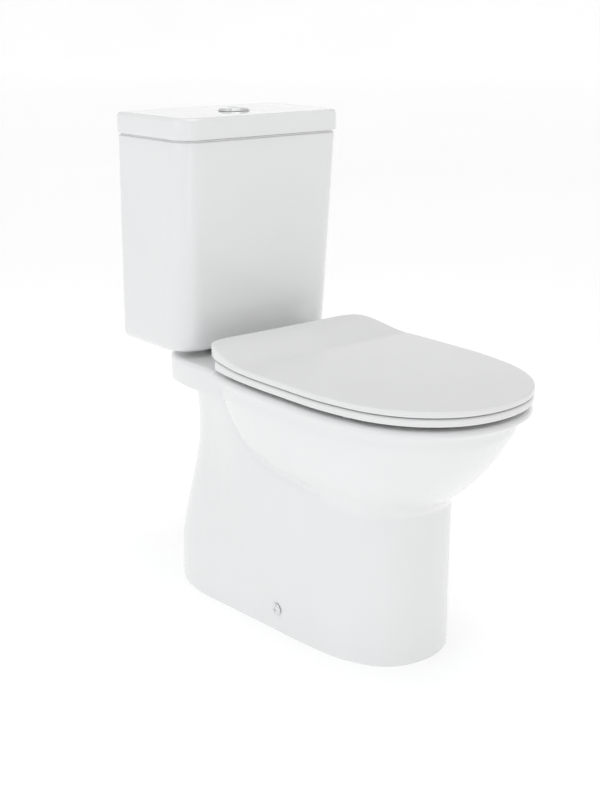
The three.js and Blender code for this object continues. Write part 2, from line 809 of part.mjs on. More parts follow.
for (const [label, side] of SIDES) {
  const x = side * TANK_BOLT_X;
  const sealTop = TANK_FLOOR_TOP_Z + 8;
  const seal = turned(
    [
      [BOLT_RADIUS + GAP, TANK_FLOOR_TOP_Z + GAP],
      [11, TANK_FLOOR_TOP_Z + GAP],
      [11, TANK_FLOOR_TOP_Z + 3],
      [8, sealTop],
      [BOLT_RADIUS + GAP, sealTop],
    ],
    x,
    TANK_BOLT_Y,
    16,
  );
  part(cisternGroup, `tank_bolt_seal_${label}`, seal, rubber);
  const bolt = turned(
    [
      [0, TANK_BOLT_TIP_Z],
      [BOLT_RADIUS, TANK_BOLT_TIP_Z],
      [BOLT_RADIUS, sealTop + GAP],
      [9, sealTop + GAP],
      [9, sealTop + 4],
      [6, sealTop + 6],
      [0, sealTop + 6],
    ],
    x,
    TANK_BOLT_Y,
    12,
  );
  part(cisternGroup, `tank_bolt_${label}`, bolt, steel);
  part(
    cisternGroup,
    `tank_bolt_washer_${label}`,
    washer(BOLT_RADIUS + GAP, 12, DECK_BOTTOM - 3, DECK_BOTTOM - GAP, x, TANK_BOLT_Y, 16),
    rubber,
  );
  const nut = wingNutGeometry(x, TANK_BOLT_Y, DECK_BOTTOM - 11.3);
  part(cisternGroup, `tank_wing_nut_${label}`, nut, steel);
}

const cisternLidGroup = new THREE.Group();
part(cisternLidGroup, "cistern_lid", cisternLidGeometry(), china);
part(cisternLidGroup, "button_bezel", bezelGeometry(), chrome);
part(
  cisternLidGroup,
  "bezel_nut",
  washer(BEZEL_NECK_RADIUS + GAP, 31, HEIGHT - 19, HEIGHT - LID_TOP_THICK - GAP, 0, FLUSH_Y, 24),
  valvePlastic,
);
part(cisternLidGroup, "full_flush_button", buttonGeometry(-1), chrome);
part(cisternLidGroup, "half_flush_button", buttonGeometry(1), chrome);
const rodTop = HEIGHT + BUTTON_PROUD - BUTTON_THICK - 0.8 - GAP;
part(cisternLidGroup, "full_flush_rod", post(3, 652, rodTop, -9, FLUSH_Y, 10), valvePlastic);
part(cisternLidGroup, "half_flush_rod", post(3, 652, rodTop, 12, FLUSH_Y, 10), bluePlastic);

const seatGroup = new THREE.Group();
part(seatGroup, "seat_ring", seatRingGeometry(), seatPlastic);
part(seatGroup, "seat_lid", seatLidGeometry(), seatPlastic);
for (const [label, side] of SIDES) {
  const footings = [
    ["front", side * 140, -196],
    ["rear", side * 136, 20],
  ];
  for (const [place, x, y] of footings) {
    const foot = post(9, RIM_Z + GAP, RING_BOTTOM_Z - GAP, x, y, 16);
    part(seatGroup, `ring_buffer_${place}_${label}`, foot, buffer);
  }
  const [lidX, lidY] = LID_BUFFERS[side < 0 ? 0 : 1];
  part(seatGroup, `lid_buffer_${label}`, post(7, RING_TOP_Z + GAP, 428.9, lidX, lidY, 16), buffer);
  const x = side * HINGE_X;
  part(seatGroup, `hinge_post_${label}`, hingePostGeometry(side), chrome);
  part(seatGroup, `hinge_pin_${label}`, rod(PIN_RADIUS, x - 25, x + 25, HINGE_Y, HINGE_Z), steel);
  const stud = post(BOLT_RADIUS, 356, RIM_Z + 13, x, HINGE_Y, 12);
  part(seatGroup, `hinge_stud_${label}`, stud, steel);
  part(
    seatGroup,
    `hinge_washer_${label}`,
    washer(BOLT_RADIUS + GAP, 12, DECK_BOTTOM - 3, DECK_BOTTOM - GAP, x, HINGE_Y, 16),
    rubber,
  );
  const nut = wingNutGeometry(x, HINGE_Y, DECK_BOTTOM - 11.3);
  part(seatGroup, `hinge_wing_nut_${label}`, nut, valvePlastic);
}

const toilet = new THREE.Group();
toilet.add(panGroup, cisternGroup, cisternLidGroup, seatGroup);

export default toilet;
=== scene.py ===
"""A close coupled toilet in a pale studio: pan, cistern, dual flush button, seat, lid and their fixings.

Sizes inside the classes are in millimetres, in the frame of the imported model: the origin on the floor
under the middle of the toilet, +Z up, the nose of the pan towards -Y and the wall towards +Y.
"""

import logging
import math
from dataclasses import dataclass, field
from enum import Enum
from typing import Callable, Optional, Sequence

import bmesh
import bpy
import numpy as np
from mathutils import Matrix, Vector


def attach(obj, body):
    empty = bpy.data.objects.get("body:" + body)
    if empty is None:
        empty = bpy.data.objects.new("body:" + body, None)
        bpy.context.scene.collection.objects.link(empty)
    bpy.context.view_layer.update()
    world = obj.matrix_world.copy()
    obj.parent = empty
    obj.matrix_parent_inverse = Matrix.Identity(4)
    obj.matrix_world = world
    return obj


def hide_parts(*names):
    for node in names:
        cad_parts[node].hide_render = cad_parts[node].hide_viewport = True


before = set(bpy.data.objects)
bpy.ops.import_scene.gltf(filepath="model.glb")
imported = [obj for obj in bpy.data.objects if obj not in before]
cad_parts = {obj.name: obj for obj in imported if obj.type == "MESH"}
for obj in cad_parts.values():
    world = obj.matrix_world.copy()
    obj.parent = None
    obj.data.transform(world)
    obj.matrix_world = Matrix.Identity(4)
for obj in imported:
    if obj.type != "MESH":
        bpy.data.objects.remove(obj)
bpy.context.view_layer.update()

log = logging.getLogger("toilet")
MM = 0.001

Point = tuple[float, float]
Point3 = tuple[float, float, float]
Colour = tuple[float, float, float]


class Body(Enum):
    """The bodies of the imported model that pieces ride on."""

    FIXED = "fixed"
    CISTERN_LID = "cistern_lid"
    FULL_FLUSH = "full_flush_button"
    HALF_FLUSH = "half_flush_button"
    PISTON = "flush_piston"
    FLOAT = "fill_float"
    SEAT_RING = "seat_ring"
    SEAT_LID = "seat_lid"


class Slot(Enum):
    """The material slots of the record."""

    CHINA = "china"
    SEAT = "seat_plastic"
    CHROME = "chrome"
    STEEL = "steel"
    RUBBER = "rubber"
    BUFFER = "buffer"
    VALVE = "valve_plastic"
    BLUE = "blue_plastic"


class Side(Enum):
    """The two sides of the toilet, as the sign of X."""

    LEFT = -1
    RIGHT = 1

    @property
    def label(self) -> str:
        """The word used in piece names."""
        return self.name.lower()


# ---------------------------------------------------------------- outlines


def smoothstep(low: float, high: float, value: np.ndarray | float) -> np.ndarray:
    """An S-shaped step.

    Args:
        low: Where the step starts.
        high: Where the step is complete.
        value: One value or an array of them.

    Returns:
        0 below low, 1 above high and a smooth change between.
    """
    share = np.clip((np.asarray(value, float) - low) / (high - low), 0.0, 1.0)
    return share * share * (3 - 2 * share)


def through(knots: Sequence[Point], value: float) -> float:
    """A smooth curve through knots.

    Args:
        knots: (position, height) pairs in rising order of position.
        value: The position to read.

    Returns:
        The height there, on a cubic with averaged slopes at the knots.
    """
    xs = np.array([k[0] for k in knots])
    ys = np.array([k[1] for k in knots])
    slopes = np.gradient(ys, xs)
    value = float(np.clip(value, xs[0], xs[-1]))
    i = int(np.clip(np.searchsorted(xs, value) - 1, 0, len(xs) - 2))
    span = xs[i + 1] - xs[i]
    t = (value - xs[i]) / span
    start, end = ys[i], ys[i + 1]
    bend = slopes[i] * span * (t**3 - 2 * t**2 + t) + slopes[i + 1] * span * (t**3 - t**2)
    return float(start * (2 * t**3 - 3 * t**2 + 1) + end * (3 * t**2 - 2 * t**3) + bend)


def closed_curve(points: np.ndarray, count: int) -> np.ndarray:
    """A smooth closed curve through points, cut into even lengths.

    Args:
        points: The points that the curve passes, in order.
        count: How many points to return.

    Returns:
        The evenly spaced points, the first on the first given point.
    """
    samples = []
    size = len(points)
    steps = np.linspace(0, 1, 40, endpoint=False)[:, None]
    for i in range(size):
        p0, p1, p2, p3 = (points[(i + k) % size] for k in (-1, 0, 1, 2))
        d0, d1, d2 = (math.sqrt(np.linalg.norm(b - a)) for a, b in ((p0, p1), (p1, p2), (p2, p3)))
        m1 = ((p1 - p0) / d0 - (p2 - p0) / (d0 + d1) + (p2 - p1) / d1) * d1
        m2 = ((p2 - p1) / d1 - (p3 - p1) / (d1 + d2) + (p3 - p2) / d2) * d1
        square, cube = steps**2, steps**3
        samples.append(
            (2 * cube - 3 * square + 1) * p1
            + (cube - 2 * square + steps) * m1
            + (3 * square - 2 * cube) * p2
            + (cube - square) * m2
        )
    dense = np.vstack(samples + [points[:1]])
    length = np.concatenate([[0], np.cumsum(np.linalg.norm(np.diff(dense, axis=0), axis=1))])
    wanted = np.linspace(0, length[-1], count, endpoint=False)
    return np.stack([np.interp(wanted, length, dense[:, axis]) for axis in range(2)], axis=1)


def mirrored(half: Sequence[Point], count: int) -> np.ndarray:
    """The whole outline of a symmetric shape.

    Args:
        half: Points from the nose to the back on the +X side.
        count: How many points to return.

    Returns:
        Evenly spaced points, anticlockwise from the nose.
    """
    left = [(-x, y) for x, y in reversed(half[1:-1])]
    return closed_curve(np.array(list(half) + left, float), count)


def inset(outline: np.ndarray, distance: float) -> np.ndarray:
    """An outline moved inwards.

    Args:
        outline: Anticlockwise points.
        distance: How far inwards; a negative distance moves it out.

    Returns:
        The moved points.
    """
    along = np.roll(outline, -1, axis=0) - np.roll(outline, 1, axis=0)
    along /= np.maximum(np.linalg.norm(along, axis=1, keepdims=True), 1e-9)
    return outline + distance * np.stack([-along[:, 1], along[:, 0]], axis=1)


def scaled(outline: np.ndarray, share: float, centre_y: float) -> np.ndarray:
    """An outline scaled about a point on the centre line.

    Args:
        outline: The points.
        share: The scale.
        centre_y: Where on the centre line it shrinks to.

    Returns:
        The scaled points.
    """
    centre = np.array([0.0, centre_y])
    return centre + (outline - centre) * share


def at_height(outline: np.ndarray, height: np.ndarray | float) -> np.ndarray:
    """An outline as a level of a loft.

    Args:
        outline: The points.
        height: One height, or one for each point.

    Returns:
        The points with the height as Z.
    """
    heights = np.broadcast_to(np.asarray(height, float), (len(outline),))
    return np.column_stack([outline, heights])


def rounded_box(
    half_width: float, low_y: float, high_y: float, low_radius: float, high_radius: float
) -> np.ndarray:
    """A rectangle with its own radii on its front and back corners.

    Args:
        half_width: Half its size along X.
        low_y: Its front.
        high_y: Its back.
        low_radius: The radius of its front corners.
        high_radius: The radius of its back corners.

    Returns:
        Anticlockwise points, as many for every size.
    """
    corners = [
        (1, low_y + low_radius, low_radius, -90),
        (1, high_y - high_radius, high_radius, 0),
        (-1, high_y - high_radius, high_radius, 90),
        (-1, low_y + low_radius, low_radius, 180),
    ]
    turn = np.radians(np.linspace(0, 90, 17))
    arcs = []
    for side, centre_y, radius, start in corners:
        angle = turn + math.radians(start)
        centre_x = side * (half_width - radius)
        arcs.append(
            np.stack([centre_x + radius * np.cos(angle), centre_y + radius * np.sin(angle)], axis=1)
        )
    points = []
    for i, arc in enumerate(arcs):
        after = arcs[(i + 1) % 4][0]
        points.append(arc)
        points.append(arc[-1] + (after - arc[-1]) * np.linspace(0, 1, 8)[1:-1, None])
    return np.vstack(points)


def disc_outline(radius: float, x: float = 0.0, y: float = 0.0, count: int = 72) -> np.ndarray:
    """A circle as an outline.

    Args:
        radius: Its radius.
        x: Its centre's X.
        y: Its centre's Y.
        count: How many points.

    Returns:
        Anticlockwise points.
    """
    angle = np.linspace(0, 2 * math.pi, count, endpoint=False)
    return np.stack([x + radius * np.cos(angle), y + radius * np.sin(angle)], axis=1)


# ---------------------------------------------------------------- meshes


def make_object(name: str, mesh: bpy.types.Mesh, sharp: float = 40.0) -> bpy.types.Object:
    """A mesh as an object of the scene, smooth but for its real edges.

    Args:
        name: The object's name.
        mesh: Its mesh, in metres.
        sharp: Edges that turn more than this many degrees stay sharp.

    Returns:
        The object.
    """
    mesh.name = name
    for polygon in mesh.polygons:
        polygon.use_smooth = True
    mesh.set_sharp_from_angle(angle=math.radians(sharp))
    made = bpy.data.objects.new(name, mesh)
    bpy.context.scene.collection.objects.link(made)
    return made


def mesh_of(points: np.ndarray, faces: Sequence[Sequence[int]]) -> bpy.types.Mesh:
    """A closed mesh from points in millimetres.

    Args:
        points: The points.
        faces: Point numbers of each face.

    Returns:
        The mesh, in metres, with its faces turned outwards.
    """
    mesh = bpy.data.meshes.new("shape")
    mesh.from_pydata((np.asarray(points) * MM).tolist(), [], [list(map(int, f)) for f in faces])
    tidy = bmesh.new()
    tidy.from_mesh(mesh)
    bmesh.ops.remove_doubles(tidy, verts=tidy.verts, dist=1e-7)
    bmesh.ops.recalc_face_normals(tidy, faces=tidy.faces)
    tidy.to_mesh(mesh)
    tidy.free()
    return mesh


def loft(levels: Sequence[np.ndarray], ring: bool = False) -> bpy.types.Mesh:
    """A closed skin over a stack of levels.

    Args:
        levels: Levels with equal numbers of points, in order along the skin.
        ring: Whether the last level joins the first, instead of both ends being closed.

    Returns:
        The mesh.
    """
    count = len(levels[0])
    points = [np.asarray(level, float) for level in levels]
    faces = []
    spans = len(levels) if ring else len(levels) - 1
    for row in range(spans):
        after = (row + 1) % len(levels)
        for i in range(count):
            j = (i + 1) % count
            faces.append((row * count + i, row * count + j, after * count + j, after * count + i))
    if not ring:
        for end in (0, len(levels) - 1):
            hub = sum(len(p) for p in points)
            points.append(points[end].mean(axis=0, keepdims=True))
            faces += [(hub, end * count + i, end * count + (i + 1) % count) for i in range(count)]
    return mesh_of(np.vstack(points), faces)


def soften(profile: Sequence[Point], radius: float, closed: bool, steps: int = 4) -> list[Point]:
    """A profile with its corners rounded.

    Args:
        profile: Its corner points.
        radius: How far from a corner the rounding starts, where there is room.
        closed: Whether the last point joins the first.
        steps: How many spans each corner gets.

    Returns:
        The rounded profile.
    """
    points = [np.array(p, float) for p in profile]
    size = len(points)
    result: list[Point] = []
    for i, corner in enumerate(points):
        if not closed and i in (0, size - 1):
            result.append(tuple(corner))
            continue
        before, after = points[i - 1], points[(i + 1) % size]
        reach_before = min(radius, 0.45 * float(np.linalg.norm(before - corner)))
        reach_after = min(radius, 0.45 * float(np.linalg.norm(after - corner)))
        start = corner + (before - corner) / np.linalg.norm(before - corner) * reach_before
        end = corner + (after - corner) / np.linalg.norm(after - corner) * reach_after
        for t in np.linspace(0, 1, steps + 1):
            result.append(tuple((1 - t) ** 2 * start + 2 * t * (1 - t) * corner + t * t * end))
    return result


def turn(
    profile: Sequence[Point],
    x: float = 0.0,
    y: float = 0.0,
    radius: float = 0.6,
    segments: int = 72,
    flutes: int = 0,
    flute_depth: float = 0.0,
    flute_from: float = 0.0,
) -> bpy.types.Mesh:
    """A turned piece on an upright axis.

    Args:
        profile: (radius, z) pairs. A profile that starts off the axis closes on itself.
        x: The axis's X.
        y: The axis's Y.
        radius: How far its corners are rounded.
        segments: How many spans round the axis.
        flutes: How many grip ribs run up the outside.
        flute_depth: How deep they are.
        flute_from: They are only cut where the profile is further out than this.

    Returns:
        The mesh.
    """
    closed = profile[0][0] > 0
    rounded = soften(profile, radius, closed)
    rows = [p for p in rounded if closed or p[0] > 1e-6]
    angle = np.linspace(0, 2 * math.pi, segments, endpoint=False)
    levels = []
    for distance, z in rows:
        spread = np.full(segments, distance)
        if flutes and distance > flute_from:
            spread -= flute_depth * (0.5 - 0.5 * np.cos(angle * flutes)) ** 2
        across, along = x + spread * np.cos(angle), y + spread * np.sin(angle)
        levels.append(np.column_stack([across, along, np.full(segments, z)]))
    return loft(levels, ring=closed)


def turn_across(
    profile: Sequence[Point], y: float, z: float, radius: float = 0.5, segments: int = 48
) -> bpy.types.Mesh:
    """A turned piece on an axis along X.

    Args:
        profile: (radius, x) pairs.
        y: The axis's Y.
        z: The axis's Z.
        radius: How far its corners are rounded.
        segments: How many spans round the axis.

    Returns:
        The mesh.
    """
    mesh = turn(profile, radius=radius, segments=segments)
    mesh.transform(Matrix.Translation(Vector((0, y, z)) * MM) @ Matrix.Rotation(math.radians(90), 4, "Y"))
    mesh.update()
    return mesh


def threads(radius: float, start: float, end: float, pitch: float, depth: float) -> list[Point]:
    """The outside of a screw thread, for a turned profile.

    Args:
        radius: The radius over the crests.
        start: The Z where it starts.
        end: The Z where it ends.
        pitch: The distance between crests.
        depth: How deep the roots are.

    Returns:
        (radius, z) pairs from start to end.
    """
    count = max(2, int(abs(end - start) / pitch))
    heights = np.linspace(start, end, 2 * count + 1)
    return [(radius - (depth if i % 2 == 0 else 0.0), float(z)) for i, z in enumerate(heights)]


def prism(
    outline: Sequence[Point], low: float, high: float, bevel: float, segments: int = 3
) -> bpy.types.Mesh:
    """A plate with an outline and softened edges.

    Args:
        outline: Anticlockwise points.
        low: Its lower face's Z.
        high: Its upper face's Z.
        bevel: The width of its softened edges.
        segments: How many spans they get.

    Returns:
        The mesh.
    """
    made = bmesh.new()
    bottom = [made.verts.new((x * MM, y * MM, low * MM)) for x, y in outline]
    made.faces.new(list(reversed(bottom)))
    grown = bmesh.ops.extrude_face_region(made, geom=list(made.faces))
    lifted = [g for g in grown["geom"] if isinstance(g, bmesh.types.BMVert)]
    bmesh.ops.translate(made, verts=lifted, vec=(0, 0, (high - low) * MM))
    bmesh.ops.recalc_face_normals(made, faces=made.faces)
    edges = [e for e in made.edges if e.calc_face_angle(0) > math.radians(25)]
    bmesh.ops.bevel(made, geom=edges, offset=bevel * MM, segments=segments, profile=0.5, affect="EDGES")
    mesh = bpy.data.meshes.new("plate")
    made.to_mesh(mesh)
    made.free()
    return mesh


def brick(low: Sequence[float], high: Sequence[float], bevel: float) -> bpy.types.Mesh:
    """A block with softened edges.

    Args:
        low: Its lowest corner.
        high: Its highest corner.
        bevel: The width of its softened edges.

    Returns:
        The mesh.
    """
    outline = [(low[0], low[1]), (high[0], low[1]), (high[0], high[1]), (low[0], high[1])]
    return prism(outline, low[2], high[2], bevel)


def joined(meshes: Sequence[bpy.types.Mesh]) -> bpy.types.Mesh:
    """Several meshes as one.

    Args:
        meshes: The meshes, which are used up.

    Returns:
        One mesh with all their faces.
    """
    whole = bmesh.new()
    for mesh in meshes:
        whole.from_mesh(mesh)
        bpy.data.meshes.remove(mesh)
    result = bpy.data.meshes.new("joined")
    whole.to_mesh(result)
    whole.free()
    return result


class Cut(Enum):
    """What a solid operation does with its second mesh."""

    AWAY = "DIFFERENCE"
    ON = "UNION"


def combine(base: bpy.types.Mesh, tool: bpy.types.Mesh, how: Cut) -> bpy.types.Mesh:
    """One closed mesh cut by or joined with another.

    Args:
        base: The mesh to work on, which is used up.
        tool: The second mesh, which is used up.
        how: Whether the tool is cut away or joined on.

    Returns:
        The new mesh.
    """
    holders = [bpy.data.objects.new("work", mesh) for mesh in (base, tool)]
    for holder in holders:
        bpy.context.scene.collection.objects.link(holder)
    modifier = holders[0].modifiers.new("solid", "BOOLEAN")
    modifier.operation = how.value
    modifier.solver = "MANIFOLD"
    modifier.object = holders[1]
    bpy.context.view_layer.update()
    graph = bpy.context.evaluated_depsgraph_get()
    result = bpy.data.meshes.new_from_object(holders[0].evaluated_get(graph))
    for holder in holders:
        spent = holder.data
        bpy.data.objects.remove(holder)
        bpy.data.meshes.remove(spent)
    return result


def duplicate(mesh: bpy.types.Mesh) -> bpy.types.Mesh:
    """A copy of a mesh, for a tool that is used twice."""
    return mesh.copy()


# ---------------------------------------------------------------- finishes


@dataclass(frozen=True)
class Finish:
    """A procedural finish: near values of one colour, clouded roughness and a fine relief.

    Attributes:
        name: The material's name.
        light: The colour in its lighter clouds.
        dark: The colour in its darker clouds.
        cloud_scale: How small the clouds are, in clouds to a metre.
        roughness: The lowest and highest roughness.
        grain_scale: How fine the relief is.
        grain: How deep the relief is, in metres.
        wave_scale: How long the slow waves of the surface are.
        wave: How deep they are, in metres.
        metallic: 1 for a metal.
        coat: How much clear gloss lies on top.
        coat_roughness: How rough that gloss is.
        ior: The index of refraction.
    """

    name: str
    light: Colour
    dark: Colour
    cloud_scale: float = 9.0
    roughness: Point = (0.06, 0.12)
    grain_scale: float = 900.0
    grain: float = 0.00002
    wave_scale: float = 14.0
    wave: float = 0.0
    metallic: float = 0.0
    coat: float = 0.0
    coat_roughness: float = 0.03
    ior: float = 1.5

    def build(self) -> bpy.types.Material:
        """Makes the material.

        Returns:
            A node material that follows the piece's own coordinates.
        """
        material = bpy.data.materials.new(self.name)
        material.use_nodes = True
        nodes = material.node_tree.nodes
        links = material.node_tree.links
        shader = nodes["Principled BSDF"]
        shader.inputs["Metallic"].default_value = self.metallic
        shader.inputs["Coat Weight"].default_value = self.coat
        shader.inputs["Coat Roughness"].default_value = self.coat_roughness
        shader.inputs["IOR"].default_value = self.ior
        place = nodes.new("ShaderNodeTexCoord").outputs["Object"]
        clouds = self.noise(nodes, links, place, self.cloud_scale, 3.0)
        ramp = nodes.new("ShaderNodeValToRGB")
        ramp.color_ramp.elements[0].position = 0.35
        ramp.color_ramp.elements[0].color = (*self.dark, 1)
        ramp.color_ramp.elements[1].position = 0.65
        ramp.color_ramp.elements[1].color = (*self.light, 1)
        links.new(clouds, ramp.inputs["Fac"])
        links.new(ramp.outputs["Color"], shader.inputs["Base Color"])
        spread = nodes.new("ShaderNodeMapRange")
        spread.inputs["To Min"].default_value = self.roughness[0]
        spread.inputs["To Max"].default_value = self.roughness[1]
        links.new(self.noise(nodes, links, place, self.cloud_scale * 4, 4.0), spread.inputs["Value"])
        links.new(spread.outputs["Result"], shader.inputs["Roughness"])
        relief = self.relief(nodes, links, place)
        if relief is not None:
            links.new(relief, shader.inputs["Normal"])
        self.extra(nodes, links, place, shader)
        return material

    def noise(
        self,
        nodes: bpy.types.Nodes,
        links: bpy.types.NodeLinks,
        place: bpy.types.NodeSocket,
        scale: float,
        detail: float,
    ) -> bpy.types.NodeSocket:
        """Adds a noise.

        Args:
            nodes: The material's nodes.
            links: The material's links.
            place: The coordinates.
            scale: The noise's scale.
            detail: How many layers it has.

        Returns:
            Its value socket.
        """
        texture = nodes.new("ShaderNodeTexNoise")
        texture.inputs["Scale"].default_value = scale
        texture.inputs["Detail"].default_value = detail
        links.new(place, texture.inputs["Vector"])
        return texture.outputs["Fac"]

    def relief(
        self, nodes: bpy.types.Nodes, links: bpy.types.NodeLinks, place: bpy.types.NodeSocket
    ) -> Optional[bpy.types.NodeSocket]:
        """Adds the slow waves and the fine grain as one normal.

        Args:
            nodes: The material's nodes.
            links: The material's links.
            place: The coordinates.

        Returns:
            The normal socket, or None where the surface is plain.
        """
        normal: Optional[bpy.types.NodeSocket] = None
        for scale, depth, detail in (
            (self.wave_scale, self.wave, 1.0), (self.grain_scale, self.grain, 2.0)
        ):
            if depth <= 0:
                continue
            bump = nodes.new("ShaderNodeBump")
            bump.inputs["Distance"].default_value = depth
            links.new(self.noise(nodes, links, place, scale, detail), bump.inputs["Height"])
            if normal is not None:
                links.new(normal, bump.inputs["Normal"])
            normal = bump.outputs["Normal"]
        return normal

    def extra(
        self,
        nodes: bpy.types.Nodes,
        links: bpy.types.NodeLinks,
        place: bpy.types.NodeSocket,
        shader: bpy.types.Node,
    ) -> None:
        """Adds what only one finish has; a plain finish has nothing more."""


@dataclass(frozen=True)
class PlatedFinish(Finish):
    """A metal with fine rubbed lines in its roughness."""

    line_scale: float = 60.0

    def extra(
        self,
        nodes: bpy.types.Nodes,
        links: bpy.types.NodeLinks,
        place: bpy.types.NodeSocket,
        shader: bpy.types.Node,
    ) -> None:
        """Draws the rubbed lines.

        Args:
            nodes: The material's nodes.
            links: The material's links.
            place: The coordinates.
            shader: The surface shader.
        """
        stretch = nodes.new("ShaderNodeMapping")
        stretch.inputs["Scale"].default_value = (1.0, 22.0, 6.0)
        links.new(place, stretch.inputs["Vector"])
        lines = self.noise(nodes, links, stretch.outputs["Vector"], self.line_scale, 5.0)
        spread = nodes.new("ShaderNodeMapRange")
        spread.inputs["From Min"].default_value = 0.3
        spread.inputs["From Max"].default_value = 0.7
        spread.inputs["To Min"].default_value = self.roughness[0]
        spread.inputs["To Max"].default_value = self.roughness[1]
        links.new(lines, spread.inputs["Value"])
        links.new(spread.outputs["Result"], shader.inputs["Roughness"])


@dataclass(frozen=True)
class GelFinish(Finish):
    """A soft clear plastic that lets some light in."""

    clearness: float = 0.35

    def extra(
        self,
        nodes: bpy.types.Nodes,
        links: bpy.types.NodeLinks,
        place: bpy.types.NodeSocket,
        shader: bpy.types.Node,
    ) -> None:
        """Lets light through the surface.

        Args:
            nodes: The material's nodes; not used.
            links: The material's links; not used.
            place: The coordinates; not used.
            shader: The surface shader.
        """
        shader.inputs["Transmission Weight"].default_value = self.clearness
        shader.inputs["Subsurface Weight"].default_value = 0.2
        shader.inputs["Subsurface Scale"].default_value = 0.004


FINISHES: dict[Slot, Finish] = {
    Slot.CHINA: Finish(
        "glazed_china",
        light=(0.80, 0.802, 0.806),
        dark=(0.785, 0.787, 0.79),
        cloud_scale=6.0,
        roughness=(0.20, 0.28),
        grain_scale=420.0,
        grain=0.000006,
        wave_scale=11.0,
        wave=0.00008,
        coat=0.8,
        coat_roughness=0.04,
        ior=1.52,
    ),
    Slot.SEAT: Finish(
        "seat_resin",
        light=(0.79, 0.79, 0.79),
        dark=(0.775, 0.775, 0.776),
        cloud_scale=7.0,
        roughness=(0.16, 0.22),
        grain_scale=1500.0,
        grain=0.000006,
        coat=0.15,
        coat_roughness=0.12,
        ior=1.49,
    ),
    Slot.CHROME: PlatedFinish(
        "polished_chrome",
        light=(0.80, 0.805, 0.81),
        dark=(0.74, 0.745, 0.75),
        cloud_scale=60.0,
        roughness=(0.06, 0.14),
        grain_scale=1200.0,
        grain=0.000003,
        metallic=1.0,
    ),
    Slot.STEEL: PlatedFinish(
        "zinc_plated_steel",
        light=(0.66, 0.67, 0.66),
        dark=(0.50, 0.50, 0.47),
        cloud_scale=240.0,
        roughness=(0.24, 0.42),
        grain_scale=1600.0,
        grain=0.00002,
        metallic=1.0,
    ),
    Slot.RUBBER: Finish(
        "black_rubber",
        light=(0.035, 0.035, 0.036),
        dark=(0.018, 0.018, 0.018),
        cloud_scale=120.0,
        roughness=(0.62, 0.85),
        grain_scale=2200.0,
        grain=0.00006,
    ),
    Slot.BUFFER: GelFinish(
        "buffer_gel",
        light=(0.78, 0.79, 0.80),
        dark=(0.70, 0.71, 0.72),
        cloud_scale=150.0,
        roughness=(0.28, 0.42),
        grain_scale=1800.0,
        grain=0.00001,
    ),
    Slot.VALVE: Finish(
        "white_moulding",
        light=(0.76, 0.77, 0.78),
        dark=(0.70, 0.71, 0.72),
        cloud_scale=45.0,
        roughness=(0.32, 0.46),
        grain_scale=2400.0,
        grain=0.00003,
        ior=1.53,
    ),
    Slot.BLUE: Finish(
        "blue_moulding",
        light=(0.07, 0.20, 0.45),
        dark=(0.05, 0.16, 0.38),
        cloud_scale=45.0,
        roughness=(0.30, 0.44),
        grain_scale=2400.0,
        grain=0.00003,
        ior=1.53,
    ),
}


class Bench:
    """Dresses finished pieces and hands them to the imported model."""

    def __init__(self) -> None:
        """Makes every finish once."""
        self.materials = {slot: finish.build() for slot, finish in FINISHES.items()}
        self.fitted: list[str] = []

    def fit(self, piece: bpy.types.Object, body: Body, slot: Slot, *nodes: str) -> bpy.types.Object:
        """Gives a piece its finish and its body.

        Args:
            piece: The piece, in its place.
            body: The body that it moves with.
            slot: The slot that its finish comes from.
            nodes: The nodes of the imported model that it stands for.

        Returns:
            The piece.
        """
        piece.data.materials.clear()
        piece.data.materials.append(self.materials[slot])
        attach(piece, body.value)
        if nodes:
            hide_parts(*nodes)
        self.fitted.append(piece.name)
        log.info("%s on %s: %d faces", piece.name, body.value, len(piece.data.polygons))
        return piece

    def fit_mesh(
        self, name: str, mesh: bpy.types.Mesh, body: Body, slot: Slot, *nodes: str
    ) -> bpy.types.Object:
        """Makes an object of a mesh and fits it.

        Args:
            name: The piece's name.
            mesh: Its mesh.
            body: The body that it moves with.
            slot: The slot that its finish comes from.
            nodes: The nodes that it stands for.

        Returns:
            The piece.
        """
        return self.fit(make_object(name, mesh), body, slot, *nodes)


# ---------------------------------------------------------------- pan

SEAT_HALF: tuple[Point, ...] = (
    (0, -353),
    (65, -340),
    (117, -301),
    (149, -248),
    (167, -168),
    (171, -77),
    (171, -3),
    (166, 56),
    (159, 92),
    (148, 112),
    (126, 121),
    (60, 121),
    (0, 121),
)


